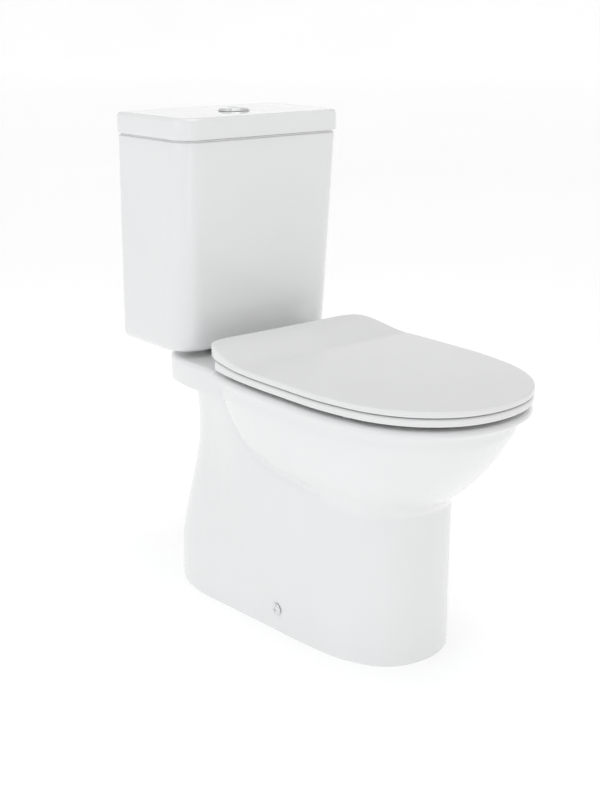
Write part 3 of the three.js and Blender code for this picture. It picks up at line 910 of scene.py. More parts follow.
@dataclass
class Pan:
    """The glazed pan: a belly that hangs from the rim, on a pedestal that carries the shelf."""

    rim_z: float = 405.0
    centre_y: float = -60.0
    rim_inset: float = 2.0
    belly_shift: float = 0.076
    groove_side: float = 4.0
    crease: float = 2.4
    crease_width: float = 5.0
    groove_front: float = 18.0
    shelf_bottom: float = 362.5
    shelf_join: float = 365.5
    shelf_floor: float = 369.0
    rim_radius: float = 7.0
    lip_radius: float = 6.0
    wall: float = 12.0
    deck_bottom: float = 385.0
    sump_y: float = 8.0
    outlet_radius: float = 51.0
    outlet_bore: float = 40.0
    columns: int = 560
    duct_wall_box: tuple[Point3, Point3] = ((-34, 0, 346), (34, 292, 392))
    duct_box: tuple[Point3, Point3] = ((-22, 0, 358), (22, 268, 382))
    inlet_y: float = 246.0
    inlet_profile: tuple[Point, ...] = ((0, 370), (31, 370), (31, 403), (33, 407), (0, 407))
    deck_holes: tuple[Point3, ...] = ((78, 104, 4.6), (84, 222, 5.2))
    screw_hole: Point3 = (117, -6, 38)
    screw_hole_radius: float = 4.0
    drill_top: float = 407.0
    foot_half: tuple[Point, ...] = (
        (0, -221),
        (60, -203),
        (98, -146),
        (113, -60),
        (118, 12),
        (124, 96),
        (128, 200),
        (107, 265),
        (60, 305),
        (0, 316),
    )
    shelf_half: tuple[Point, ...] = (
        (0, -221),
        (60, -203),
        (98, -146),
        (122, -60),
        (138, 20),
        (147, 96),
        (149, 190),
        (130, 250),
        (76, 289),
        (0, 297),
    )
    bowl_half: tuple[Point, ...] = (
        (0, -300),
        (60, -287),
        (101, -235),
        (117, -160),
        (112, -80),
        (88, -10),
        (48, 22),
        (0, 30),
    )
    bowl_rows: tuple[Point, ...] = (
        (203, 0.24),
        (207, 0.36),
        (235, 0.5),
        (275, 0.68),
        (320, 0.86),
        (365, 0.97),
        (406, 1.0),
    )
    belly_rows: tuple[Point, ...] = (
        (0, 1.0),
        (8, 0.968),
        (16, 0.948),
        (35, 0.929),
        (60, 0.886),
        (85, 0.838),
        (110, 0.776),
        (135, 0.70),
        (160, 0.60),
        (185, 0.46),
        (215, 0.3),
    )
    trap_route: tuple[Point, ...] = (
        (-12, 222),
        (20, 246),
        (52, 268),
        (92, 258),
        (128, 222),
        (172, 192),
        (232, 185),
        (292, 185),
    )
    angles: np.ndarray = field(init=False, repr=False)

    def __post_init__(self) -> None:
        """Spaces the columns evenly along the top's outline."""
        fine = np.linspace(-math.pi, math.pi, 2881)
        top = self.wall_radius(self.rim_z - 20, fine)
        x, y = top * np.sin(fine), -top * np.cos(fine)
        length = np.concatenate([[0], np.cumsum(np.hypot(np.diff(x), np.diff(y)))])
        wanted = np.linspace(0, length[-1], self.columns, endpoint=False)
        self.angles = np.interp(wanted, length, fine)

    def radius_of(self, outline: np.ndarray, angles: np.ndarray) -> np.ndarray:
        """How far an outline is from the pan's middle.

        Args:
            outline: A symmetric outline round the middle.
            angles: Angles from the nose.

        Returns:
            The distance at each angle.
        """
        half = outline[outline[:, 0] >= -1e-6]
        bearing = np.arctan2(np.maximum(half[:, 0], 0), -(half[:, 1] - self.centre_y))
        order = np.argsort(bearing)
        reach = np.hypot(half[:, 0], half[:, 1] - self.centre_y)
        return np.interp(np.abs(angles), bearing[order], reach[order])

    def spread(self, reach: np.ndarray) -> np.ndarray:
        """Points at distances from the pan's middle, one for each column."""
        return np.stack([reach * np.sin(self.angles), self.centre_y - reach * np.cos(self.angles)], axis=1)

    def belly(self, z: float) -> np.ndarray:
        """The belly's outline at a height, as a smaller rim that moves back a little.

        Args:
            z: The height.

        Returns:
            The outline.
        """
        depth = self.rim_z - z
        rim = inset(mirrored(SEAT_HALF, 400), self.rim_inset)
        outline = scaled(rim, through(self.belly_rows, depth), self.centre_y)
        return outline + np.array([0, self.belly_shift * depth])

    def pedestal(self, z: float) -> np.ndarray:
        """The pedestal's outline at a height.

        Args:
            z: The height.

        Returns:
            The outline: the foot, drawn in at the back higher up, and spread into the shelf.
        """
        foot = mirrored(self.foot_half, 360)
        shelf = mirrored(self.shelf_half, 360)
        pull = smoothstep(52, 275, z) * smoothstep(60, 220, foot[:, 1])
        pull = pull * (1 - 0.15 * smoothstep(290, 360, z))
        drawn = np.stack([foot[:, 0] * (1 - 0.2 * pull), foot[:, 1] - 28 * pull], axis=1)
        share = smoothstep(self.shelf_bottom, self.shelf_join, z)
        return drawn + (shelf - drawn) * share

    def wall_radius(self, z: float, angles: np.ndarray) -> np.ndarray:
        """The outside of the pan at a height: belly and pedestal, with a soft groove between.

        Args:
            z: The height.
            angles: Angles from the nose.

        Returns:
            The distance from the pan's middle at each angle.
        """
        belly = self.radius_of(self.belly(z), angles)
        pedestal = self.radius_of(self.pedestal(z), angles)
        ahead = smoothstep(-0.1, 0.85, np.cos(angles))
        groove = self.groove_side + (self.groove_front - self.groove_side) * ahead
        near = np.maximum(groove - np.abs(belly - pedestal), 0) / groove
        channel = self.crease * (1 - ahead) * np.exp(-(((belly - pedestal) / self.crease_width) ** 2))
        return np.maximum(belly, pedestal) + near**2 * groove / 4 - channel * (z < self.shelf_bottom)

    def skin(self) -> list[np.ndarray]:
        """The pan's levels, from the foot up the outside, over the deck and down the bowl.

        Returns:
            The levels of a closed loft.
        """
        levels = [
            at_height(self.spread(self.wall_radius(0, self.angles) - d), z)
            for z, d in ((0, 2), (0.6, 0.6))
        ]
        heights = np.concatenate(
            [
                [2, 6, 12],
                np.arange(20, 200, 10),
                np.arange(200, 354, 3),
                np.arange(354, 362, 2.0),
                np.arange(362, 366, 0.5),
                np.arange(367, 370, 2.0),
                np.arange(370, 398, 3),
            ]
        )
        levels += [at_height(self.spread(self.wall_radius(z, self.angles)), z) for z in heights]
        top = self.wall_radius(self.rim_z, self.angles)
        edge = self.spread(top)
        along = np.roll(edge, -1, axis=0) - np.roll(edge, 1, axis=0)
        outward = np.stack(
            [along[:, 1], -along[:, 0]], axis=1
        ) / np.linalg.norm(along, axis=1, keepdims=True)
        straight = (edge - np.array([0, self.centre_y])) / top[:, None]
        facing = np.clip((outward * straight).sum(axis=1), 0.5, 1)
        for angle in np.radians(np.linspace(0, 90, 7)):
            reach = top - self.rim_radius * (1 - math.cos(angle)) / facing
            levels.append(
                at_height(self.spread(reach), self.rim_z - self.rim_radius * (1 - math.sin(angle)))
            )
        opening = self.radius_of(mirrored(self.bowl_half, 400), self.angles)
        shoulder = top - self.rim_radius / facing
        for share in np.linspace(0, 1, 10)[1:-1]:
            reach = shoulder + (opening + self.lip_radius - shoulder) * share
            levels.append(at_height(self.spread(reach), self.rim_z))
        for angle in np.radians(np.linspace(0, 90, 6)):
            reach = opening + self.lip_radius * (1 - math.sin(angle))
            levels.append(
                at_height(self.spread(reach), self.rim_z - self.lip_radius * (1 - math.cos(angle)))
            )
        return levels + self.bowl_levels(self.spread(opening), np.arange(394, 204, -5))

    def bowl_levels(
        self, opening: np.ndarray, heights: Sequence[float], wall: float = 0.0
    ) -> list[np.ndarray]:
        """Levels of the bowl's hollow, or of the china round it.

        Args:
            opening: The bowl's outline at the top.
            heights: The heights of the levels.
            wall: How thick the china is.

        Returns:
            The levels.
        """
        levels = []
        for z in [*heights, self.bowl_rows[0][0]]:
            share = through(self.bowl_rows, z)
            centre = self.sump_y + (self.centre_y - self.sump_y) * min(1.0, share * 1.1)
            drop = wall if z < self.rim_z else 0
            levels.append(at_height(inset(scaled(opening, share, centre), -wall), z - drop))
        return levels

    def tube(self, radius: float, overrun: float) -> bpy.types.Mesh:
        """The trapway as a bent tube.

        Args:
            radius: Its radius.
            overrun: How far it runs past both ends.

        Returns:
            The mesh.
        """
        route = np.array(self.trap_route, float)
        route[0, 0] -= overrun
        route[-1, 0] += overrun
        knots = np.concatenate([[0], np.cumsum(np.hypot(*np.diff(route, axis=0).T))])
        levels = []
        for t in np.linspace(0, knots[-1], 41):
            y, z = (through(list(zip(knots, route[:, axis])), t) for axis in range(2))
            ahead = [through(list(zip(knots, route[:, axis])), min(t + 1, knots[-1])) for axis in range(2)]
            behind = [through(list(zip(knots, route[:, axis])), max(t - 1, 0)) for axis in range(2)]
            direction = np.subtract(ahead, behind)
            direction /= np.linalg.norm(direction)
            ring = disc_outline(radius, count=48)
            levels.append(
                np.column_stack([ring[:, 0], y - ring[:, 1] * direction[1], z + ring[:, 1] * direction[0]])
            )
        return loft(levels)

    def body(self) -> bpy.types.Mesh:
        """The whole pan, hollow underneath and open at the back round its outlet.

        Returns:
            The mesh.
        """
        inner = [inset(self.pedestal(z), self.wall) for z in (0, 60, 110, 160, 210, 260, 310, 352)]
        heights = (-2, 60, 110, 160, 210, 260, 310, 352)
        shelf = inset(self.pedestal(self.rim_z), self.wall)
        levels = [at_height(level, z) for level, z in zip(inner, heights)]
        levels += [at_height(inner[-1], self.shelf_floor), at_height(shelf, self.shelf_floor + 0.5)]
        hollow = loft(levels + [at_height(shelf, self.deck_bottom)])
        opening = mirrored(self.bowl_half, 180)
        shell = loft(self.bowl_levels(opening, np.arange(self.rim_z + 1, 204, -12), self.wall))
        trap = self.tube(self.outlet_radius, 0)
        duct_wall = brick(*self.duct_wall_box, 2)
        for tool in (shell, duplicate(trap), duct_wall):
            hollow = combine(hollow, tool, Cut.AWAY)
        doorway = rounded_box(74, -97, 97, 30, 30)
        door = loft(
            [
                np.column_stack([doorway[:, 0], np.full(len(doorway), y), 193 + doorway[:, 1]])
                for y in (330, 240)
            ]
        )
        door = combine(door, trap, Cut.AWAY)
        solid = loft(self.skin())
        for tool in (hollow, door, self.tube(self.outlet_bore, 4), *self.holes()):
            solid = combine(solid, tool, Cut.AWAY)
        return solid

    def holes(self) -> list[bpy.types.Mesh]:
        """The duct, the inlet under the tank and the drilled holes.

        Returns:
            The tools that cut them.
        """
        inlet = turn(self.inlet_profile, 0, self.inlet_y, radius=1, segments=72)
        tools = [brick(*self.duct_box, 4), inlet]
        low, high = self.deck_bottom - 9, self.drill_top
        wall_x, screw_y, screw_z = self.screw_hole
        reach = self.screw_hole_radius
        for side in Side:
            for x, y, radius in self.deck_holes:
                drill = [(0, low), (radius, low), (radius, high), (0, high)]
                tools.append(turn(drill, side.value * x, y, radius=0.1, segments=32))
            near, far = sorted((side.value * (wall_x - 20), side.value * (wall_x + 20)))
            drill = [(0, near), (reach, near), (reach, far), (0, far)]
            tools.append(turn_across(drill, screw_y, screw_z, 0.1, 32))
        return tools

    def dress(self, bench: Bench) -> None:
        """Builds and fits the pan.

        Args:
            bench: Where it is dressed.
        """
        bench.fit_mesh("glazed_pan", self.body(), Body.FIXED, Slot.CHINA, "pan")


@dataclass
class FloorFixing:
    """A bracket inside the foot, the screw that holds it down and the one through the china."""

    side: Side
    wall_x: float = 117.0
    y: float = -6.0
    z: float = 38.0
    head_radius: float = 10.0
    cap_radius: float = 7.2
    floor_screw_x: float = 76.0

    def across(self, near: float, far: float) -> tuple[float, float]:
        """Two distances from the centre line as X limits on this side."""
        limits = sorted((self.side.value * near, self.side.value * far))
        return limits[0], limits[1]

    def side_screw(self) -> bpy.types.Mesh:
        """The chromed screw through the foot, with a cross slot in a domed head.

        Returns:
            The mesh.
        """
        s = self.side.value
        face = self.wall_x + 1
        profile = [
            (0.0, s * (self.wall_x - 24)),
            *[(r, s * x) for r, x in threads(3.4, self.wall_x - 23, self.wall_x - 4, 1.6, 0.5)],
            (3.2, s * (self.wall_x - 3.5)),
            (3.2, s * face),
            (self.head_radius, s * face),
            (self.head_radius, s * (face + 0.8)),
            (self.cap_radius + 1.4, s * (face + 1.6)),
            (self.cap_radius, s * (face + 1.1)),
            (self.cap_radius - 0.2, s * (face + 2.2)),
            (self.cap_radius - 2.8, s * (face + 2.9)),
            (0.0, s * (face + 3)),
        ]
        screw = turn_across(profile, self.y, self.z, radius=0.5)
        low, high = self.across(face + 1.2, face + 5)
        for wide, tall in ((4.2, 0.65), (0.65, 4.2)):
            slot = brick((low, self.y - wide, self.z - tall), (high, self.y + wide, self.z + tall), 0.15)
            screw = combine(screw, slot, Cut.AWAY)
        return screw

    def bracket(self) -> bpy.types.Mesh:
        """The moulded angle bracket, with a rib at each end.

        Returns:
            The mesh.
        """
        inner = self.wall_x - 14
        low, high = self.across(inner - 9, inner)
        plate = brick((low, self.y - 18, 0.5), (high, self.y + 18, 56), 1.2)
        low, high = self.across(60, inner - 4)
        foot = brick((low, self.y - 18, 0.5), (high, self.y + 18, 7), 1.2)
        whole = combine(plate, foot, Cut.ON)
        near, far = sorted((self.side.value * 66, self.side.value * (inner - 8)))
        for offset in (-14, 14):
            rib = brick((near, self.y + offset - 1.5, 5), (far, self.y + offset + 1.5, 20), 0.6)
            whole = combine(whole, rib, Cut.ON)
        whole = combine(
            whole,
            turn([(0, -1), (3.6, -1), (3.6, 9), (0, 9)], self.side.value * self.floor_screw_x, self.y),
            Cut.AWAY,
        )
        low, high = self.across(inner - 10, inner + 1)
        return combine(
            whole, turn_across([(0, low), (3.9, low), (3.9, high), (0, high)], self.y, self.z), Cut.AWAY
        )

    def floor_screw(self) -> bpy.types.Mesh:
        """The zinc plated screw that goes into the floor.

        Returns:
            The mesh.
        """
        profile = [
            (0, 0.5),
            *threads(3.0, 0.8, 6.8, 1.4, 0.5),
            (3, 7.3),
            (6, 7.3),
            (5.6, 9),
            (4, 10.5),
            (0, 10.5),
        ]
        return turn(profile, self.side.value * self.floor_screw_x, self.y, radius=0.4, segments=36)

    def dress(self, bench: Bench) -> None:
        """Builds and fits the three pieces of one side.

        Args:
            bench: Where they are dressed.
        """
        label = self.side.label
        bench.fit_mesh(
            f"foot_screw_{label}", self.side_screw(), Body.FIXED, Slot.CHROME, f"side_screw_{label}"
        )
        bench.fit_mesh(
            f"foot_bracket_{label}", self.bracket(), Body.FIXED, Slot.VALVE, f"floor_bracket_{label}"
        )
        bench.fit_mesh(
            f"ground_screw_{label}", self.floor_screw(), Body.FIXED, Slot.STEEL, f"floor_screw_{label}"
        )


# ---------------------------------------------------------------- cistern


@dataclass
class Cistern:
    """The tank on the shelf."""

    back_y: float = 353.0
    foot_z: float = 414.0
    top_z: float = 746.7
    foot_half: float = 159.0
    top_half: float = 156.0
    foot_depth: float = 172.0
    top_depth: float = 192.5
    foot_front_radius: float = 52.0
    top_front_radius: float = 33.0
    back_radius: float = 15.0
    wall: float = 9.0
    floor: float = 11.0
    foot_edge: float = 12.0
    rim_edge: float = 2.2
    rebate: float = 2.4
    floor_holes: tuple[Point3, ...] = ((0, 246, 29.0), (108, 302, 11.0), (-84, 222, 5.2), (84, 222, 5.2))

    def level(self, z: float, inward: float) -> np.ndarray:
        """The tank's outline at a height.

        Args:
            z: The height.
            inward: How far inside the outer face.

        Returns:
            The level.
        """
        share = (z - self.foot_z) / (self.top_z - self.foot_z)
        half = self.foot_half + (self.top_half - self.foot_half) * share
        depth = self.foot_depth + (self.top_depth - self.foot_depth) * share
        radius = self.foot_front_radius + (self.top_front_radius - self.foot_front_radius) * share
        outline = rounded_box(
            half - inward,
            self.back_y - depth + inward,
            self.back_y - inward,
            max(radius - inward, 4),
            max(self.back_radius - inward, 4),
        )
        return at_height(outline, z)

    def body(self) -> bpy.types.Mesh:
        """The tank with its rounded foot, its rim and its inside.

        Returns:
            The mesh.
        """
        levels = [self.level(self.foot_z, self.foot_edge + d) for d in (60, 30, 8)]
        for angle in np.radians(np.linspace(0, 90, 9)):
            z = self.foot_z + self.foot_edge * (1 - math.cos(angle))
            levels.append(self.level(z, self.foot_edge * (1 - math.sin(angle))))
        levels += [self.level(z, 0) for z in np.linspace(self.foot_z + 30, self.top_z - 20, 8)]
        for angle in np.radians(np.linspace(0, 90, 5)):
            z = self.top_z - self.rebate - self.rim_edge * (1 - math.sin(angle))
            levels.append(self.level(z, self.rim_edge * (1 - math.cos(angle))))
        levels += [
            self.level(z, self.rim_edge + 0.8) for z in (self.top_z - self.rebate + 0.4, self.top_z - 0.4)
        ]
        for angle in np.radians(np.linspace(0, 90, 5)):
            z = self.top_z - self.rim_edge * (1 - math.cos(angle))
            levels.append(self.level(z, self.wall - 2 * (1 - math.sin(angle))))
        inner_floor = self.foot_z + self.floor
        levels += [self.level(z, self.wall) for z in np.linspace(self.top_z - 20, inner_floor + 12, 6)]
        for angle in np.radians(np.linspace(15, 90, 6)):
            z = inner_floor + 10 * (1 - math.sin(angle))
            levels.append(self.level(z, self.wall + 10 * (1 - math.cos(angle))))
        levels.append(self.level(inner_floor, self.wall + 50))
        tank = loft(levels)
        low, high = self.foot_z - 2, inner_floor + 2
        for x, y, radius in self.floor_holes:
            drill = [(0, low), (radius, low), (radius, high), (0, high)]
            tank = combine(tank, turn(drill, x, y, radius=0.1, segments=64), Cut.AWAY)
        return tank

    def dress(self, bench: Bench) -> None:
        """Builds and fits the tank.

        Args:
            bench: Where it is dressed.
        """
        bench.fit_mesh("glazed_tank", self.body(), Body.FIXED, Slot.CHINA, "cistern_tank")


@dataclass
class CisternLid:
    """The lid of the cistern, with the hole for the flush button."""

    top_z: float = 780.0
    skirt: float = 33.0
    half_width: float = 158.5
    back_y: float = 353.0
    depth: float = 195.0
    front_radius: float = 34.0
    back_radius: float = 17.0
    wall: float = 11.0
    thick: float = 10.0
    edge: float = 6.5
    hole_radius: float = 24.4
    hole_y: float = 246.0

    def level(self, z: float, inward: float) -> np.ndarray:
        """The lid's outline at a height and a distance inside its outer face.

        Args:
            z: The height.
            inward: The distance.

        Returns:
            The outline.
        """
        outline = rounded_box(
            self.half_width - inward,
            self.back_y - self.depth + inward,
            self.back_y - inward,
            max(self.front_radius - inward, 4),
            max(self.back_radius - inward, 4),
        )
        return at_height(outline, z)

    def towards_hole(self, start: np.ndarray, share: float, radius: float, z: float) -> np.ndarray:
        """A level between an outline and a circle round the hole.

        Args:
            start: The level to leave from.
            share: 0 at that level, 1 at the circle.
            radius: The circle's radius.
            z: The height.

        Returns:
            The level.
        """
        centre = np.array([0, self.hole_y])
        offset = start[:, :2] - centre
        circle = centre + offset / np.linalg.norm(offset, axis=1, keepdims=True) * radius
        return at_height(start[:, :2] + (circle - start[:, :2]) * share, z)

    def body(self) -> bpy.types.Mesh:
        """The lid: skirt, softened top edge, top, hole and inside.

        Returns:
            The mesh.
        """
        low = self.top_z - self.skirt
        ceiling = self.top_z - self.thick
        levels = [self.level(low, 3), self.level(low + 0.5, 0.8), self.level(low + 1.6, 0)]
        levels += [self.level(z, 0) for z in (low + 9, low + 17, self.top_z - self.edge)]
        for angle in np.radians(np.linspace(11, 90, 8)):
            z = self.top_z - self.edge * (1 - math.sin(angle))
            levels.append(self.level(z, self.edge * (1 - math.cos(angle))))
        shoulder = self.level(self.top_z, self.edge + 4)
        for share in np.linspace(0, 1, 12):
            levels.append(self.towards_hole(shoulder, share, self.hole_radius + 1.2, self.top_z))
        levels.append(self.towards_hole(shoulder, 1, self.hole_radius, self.top_z - 0.8))
        levels.append(self.towards_hole(shoulder, 1, self.hole_radius, ceiling + 0.8))
        under = self.level(ceiling, self.wall + 8)
        for share in np.linspace(1, 0, 8):
            levels.append(self.towards_hole(under, share, self.hole_radius + 1.2, ceiling))
        levels += [self.level(ceiling - 2, self.wall + 2), self.level(ceiling - 6, self.wall)]
        levels += [
            self.level(low + 6, self.wall),
            self.level(low + 1.5, self.wall),
            self.level(low, self.wall - 2),
        ]
        return loft(levels, ring=True)

    def dress(self, bench: Bench) -> None:
        """Builds and fits the lid.

        Args:
            bench: Where it is dressed.
        """
        bench.fit_mesh("glazed_cistern_lid", self.body(), Body.CISTERN_LID, Slot.CHINA, "cistern_lid")


@dataclass
class FlushButton:
    """The chromed dual button, its collar and the nut that clamps the collar."""

    top_z: float = 780.0
    y: float = 246.0
    collar_radius: float = 25.8
    neck_radius: float = 24.0
    bore: float = 22.4
    radius: float = 21.9
    split_x: float = 5.0
    thick: float = 4.4
    proud: float = 4.0
    rod_low: float = 652.0

    def collar(self) -> bpy.types.Mesh:
        """The turned collar, with a threaded neck and a ledge under the buttons.

        Returns:
            The mesh.
        """
        z = self.top_z
        neck = [
            (19, z - 28),
            *threads(self.neck_radius, z - 27, z - 11, 2.0, 0.7),
            (self.neck_radius, z - 9),
            (self.neck_radius, z + 0.3),
            (self.collar_radius, z + 0.3),
            (self.collar_radius, z + 1.2),
            (self.collar_radius - 0.7, z + 2.4),
            (self.collar_radius - 1.9, z + 3),
            (self.bore + 0.3, z + 2.9),
            (self.bore, z + 2.4),
            (self.bore, z - 8),
            (16.5, z - 8),
            (16.5, z - 10),
            (19, z - 10),
        ]
        return turn(neck, 0, self.y, radius=0.35, segments=128)

    def half(self, side: Side) -> bpy.types.Mesh:
        """One part of the split disc, with a soft edge and a shallow finger dish.

        Args:
            side: The part to make; the right one is the small flush.

        Returns:
            The mesh.
        """
        split = self.split_x + side.value * 0.4
        reach = math.acos(split / self.radius)
        span = (-reach, reach) if side is Side.RIGHT else (reach, 2 * math.pi - reach)
        arc = [
            (self.radius * math.cos(a), self.y + self.radius * math.sin(a))
            for a in np.linspace(*span, 80)
        ]
        top = self.top_z + self.proud
        plate = prism(arc, top - self.thick, top, 0.9, 4)
        ball_radius = 60.0
        centre_x = 13.0 if side is Side.RIGHT else -8.0
        dish = bmesh.new()
        bmesh.ops.create_uvsphere(dish, u_segments=96, v_segments=64, radius=ball_radius * MM)
        bmesh.ops.translate(
            dish, verts=dish.verts, vec=(centre_x * MM, self.y * MM, (top + ball_radius - 0.35) * MM)
        )
        mesh = bpy.data.meshes.new("dish")
        dish.to_mesh(mesh)
        dish.free()
        return combine(plate, mesh, Cut.AWAY)

    def rod(self, x: float) -> bpy.types.Mesh:
        """A push rod with guide rings, under a button.

        Args:
            x: Where it stands.

        Returns:
            The mesh.
        """
        high = self.top_z + self.proud - self.thick - 1.1
        profile = [(0, self.rod_low), (2.2, self.rod_low), (3, self.rod_low + 3)]
        for z in np.arange(self.rod_low + 16, high - 10, 12):
            profile += [(3, z), (2.4, z + 0.8), (2.4, z + 9), (3, z + 9.8)]
        profile += [(3, high), (0, high)]
        return turn(profile, x, self.y, radius=0.3, segments=32)

    def dress(self, bench: Bench) -> None:
        """Builds and fits the collar, the nut, both buttons and both rods.

        Args:
            bench: Where they are dressed.
        """
        bench.fit_mesh("chrome_collar", self.collar(), Body.CISTERN_LID, Slot.CHROME, "button_bezel")
        nut = [(24.4, 761), (31, 761), (31, 769.7), (24.4, 769.7)]
        ribbed = turn(nut, 0, self.y, segments=240, flutes=24, flute_depth=1.4, flute_from=29)
        bench.fit_mesh("collar_nut", ribbed, Body.CISTERN_LID, Slot.VALVE, "bezel_nut")
        bench.fit_mesh(
            "long_flush_plate", self.half(Side.LEFT), Body.FULL_FLUSH, Slot.CHROME, "full_flush_button"
        )
        bench.fit_mesh(
            "short_flush_plate", self.half(Side.RIGHT), Body.HALF_FLUSH, Slot.CHROME, "half_flush_button"
        )
        bench.fit_mesh("long_flush_pushrod", self.rod(-9), Body.FULL_FLUSH, Slot.VALVE, "full_flush_rod")
        bench.fit_mesh("short_flush_pushrod", self.rod(12), Body.HALF_FLUSH, Slot.BLUE, "half_flush_rod")


@dataclass
class FlushValve:
    """The outlet valve in the tank: its body, nut, gasket, seal and overflow tube."""

    y: float = 246.0
    floor_top: float = 425.0

    def tower(self) -> bpy.types.Mesh:
        """The moulded body, with water windows low down and slots higher up.

        Returns:
            The mesh.
        """
        floor = self.floor_top + 0.3
        profile = [
            (22.5, 392),
            *threads(28.4, 392.5, 412.5, 2.6, 0.8),
            (28.0, 413.5),
            (28.4, floor),
            (37, floor),
            (37, 431),
            (34, 434),
            (34, 520),
            (33, 521),
            (33, 640),
            (34, 641),
            (34, 644),
            (10, 644),
            (10, 641),
            (30.5, 641),
            (30.5, 431),
            (22.5, 431),
        ]
        body = turn(profile, 0, self.y, radius=0.6, segments=96)
        for wide, deep in ((40, 15), (15, 40)):
            body = combine(
                body, brick((-wide, self.y - deep, 437), (wide, self.y + deep, 474), 3), Cut.AWAY
            )
        body = combine(body, brick((-40, self.y - 4, 500), (40, self.y + 4, 620), 2.5), Cut.AWAY)
        return combine(body, brick((-9, self.y - 40, 545), (9, self.y + 40, 600), 2.5), Cut.AWAY)

    def dress(self, bench: Bench) -> None:
        """Builds and fits the outlet valve's pieces.

        Args:
            bench: Where they are dressed.
        """
        bench.fit_mesh("outlet_tower", self.tower(), Body.FIXED, Slot.VALVE, "flush_valve_body")
        nut = turn(
            [(28.7, 405.8), (38, 405.8), (38, 413.7), (28.7, 413.7)],
            0,
            self.y,
            segments=240,
            flutes=20,
            flute_depth=1.6,
            flute_from=35,
        )
        bench.fit_mesh("outlet_nut", nut, Body.FIXED, Slot.VALVE, "flush_valve_nut")
        gasket = [(38.8, 405.3), (49, 405.3), (52, 407.5), (52, 411.5), (49, 413.7), (38.8, 413.7)]
        bench.fit_mesh(
            "shelf_gasket",
            turn(gasket, 0, self.y, radius=1.6),
            Body.FIXED,
            Slot.RUBBER,
            "doughnut_gasket",
        )
        seal = [(14.4, 431.3), (28, 431.3), (28, 432.5), (22, 435.3), (14.4, 435.3)]
        bench.fit_mesh(
            "outlet_seal", turn(seal, 0, self.y, radius=0.7), Body.PISTON, Slot.RUBBER, "flush_seal"
        )
        tube = [
            (11, 431.3), (14, 431.3), (14, 470), (13.4, 471), (13.4, 618), (14, 619), (14, 622), (11, 622)
        ]
        bench.fit_mesh(
            "overflow_pipe", turn(tube, 0, self.y, radius=0.5), Body.PISTON, Slot.BLUE, "overflow_tube"
        )


@dataclass
class FillValve:
    """The inlet valve in the tank: riser, head, float, seal and nut."""

    x: float = 108.0
    y: float = 302.0
    foot_z: float = 414.0
    floor_top: float = 425.0

    def riser(self) -> bpy.types.Mesh:
        """The moulded riser, with a threaded shank below and the valve's head on top.

        Returns:
            The mesh.
        """
        floor = self.floor_top + 0.3
        profile = [
            (5, 372),
            *threads(10, 372.5, 411, 1.8, 0.7),
            (9.6, 412),
            (10, floor),
            (17, floor),
            (17, 432),
            (12, 434),
            (12, 500),
            (11.4, 502),
            (11.4, 640),
            (12, 642),
            (12, 650),
            (21, 654),
            (21, 667),
            (20, 668),
            (20, 670),
            (21, 671),
            (21, 684),
            (15, 690),
            (5, 690),
        ]
        return turn(
            profile, self.x, self.y, radius=0.7, segments=96, flutes=18, flute_depth=0.8, flute_from=20.4
        )

    def hexagon(self) -> bpy.types.Mesh:
        """The hexagon nut under the tank.

        Returns:
            The mesh.
        """
        outline = [
            (self.x + 16 * math.cos(a), self.y + 16 * math.sin(a))
            for a in np.radians(np.arange(0, 360, 60))
        ]
        nut = prism(outline, self.foot_z - 12, self.foot_z - 3.6, 0.8)
        bore = turn([(0, 400), (10.5, 400), (10.5, 415), (0, 415)], self.x, self.y, radius=0.2)
        return combine(nut, bore, Cut.AWAY)

    def dress(self, bench: Bench) -> None:
        """Builds and fits the inlet valve's pieces.

        Args:
            bench: Where they are dressed.
        """
        bench.fit_mesh("inlet_riser", self.riser(), Body.FIXED, Slot.VALVE, "fill_valve_body")
        bench.fit_mesh("inlet_nut", self.hexagon(), Body.FIXED, Slot.VALVE, "fill_valve_nut")
        seal = [(10.3, 410.7), (17, 410.7), (16, 413.7), (10.3, 413.7)]
        bench.fit_mesh("inlet_seal", turn(seal, self.x, self.y), Body.FIXED, Slot.RUBBER, "fill_valve_seal")
        cup = [
            (12.7, 520),
            (24, 520),
            (27, 523),
            (27, 548),
            (26.2, 549),
            (26.2, 551),
            (27, 552),
            (27, 575),
            (25, 578),
            (12.7, 578),
        ]
        float_mesh = turn(cup, self.x, self.y, radius=0.9, segments=96)
        bench.fit_mesh("inlet_float", float_mesh, Body.FLOAT, Slot.BLUE, "fill_float")


def wing_nut(x: float, y: float, low: float) -> bpy.types.Mesh:
    """A wing nut on an upright bolt, its wings along X.

    Args:
        x: The bolt's X.
        y: The bolt's Y.
        low: The Z of the hub's lower face.

    Returns:
        The mesh.
    """
    hub = turn([(4.3, low), (7.2, low), (8.5, low + 3), (8.5, low + 8), (4.3, low + 8)], x, y, segments=48)
    whole = hub
    for side in Side:
        near, far = sorted((x + side.value * 6.5, x + side.value * 15.5))
        outline = [(near, low - 3), (far, low - 3), (far, low + 6), (near, low + 6)]
        wing = prism([(a, b) for a, b in outline], -1.8, 1.8, 1.5, 4)
        wing.transform(Matrix.Translation((0, y * MM, 0)) @ Matrix.Rotation(math.radians(90), 4, "X"))
        whole = combine(whole, wing, Cut.ON)
    return whole


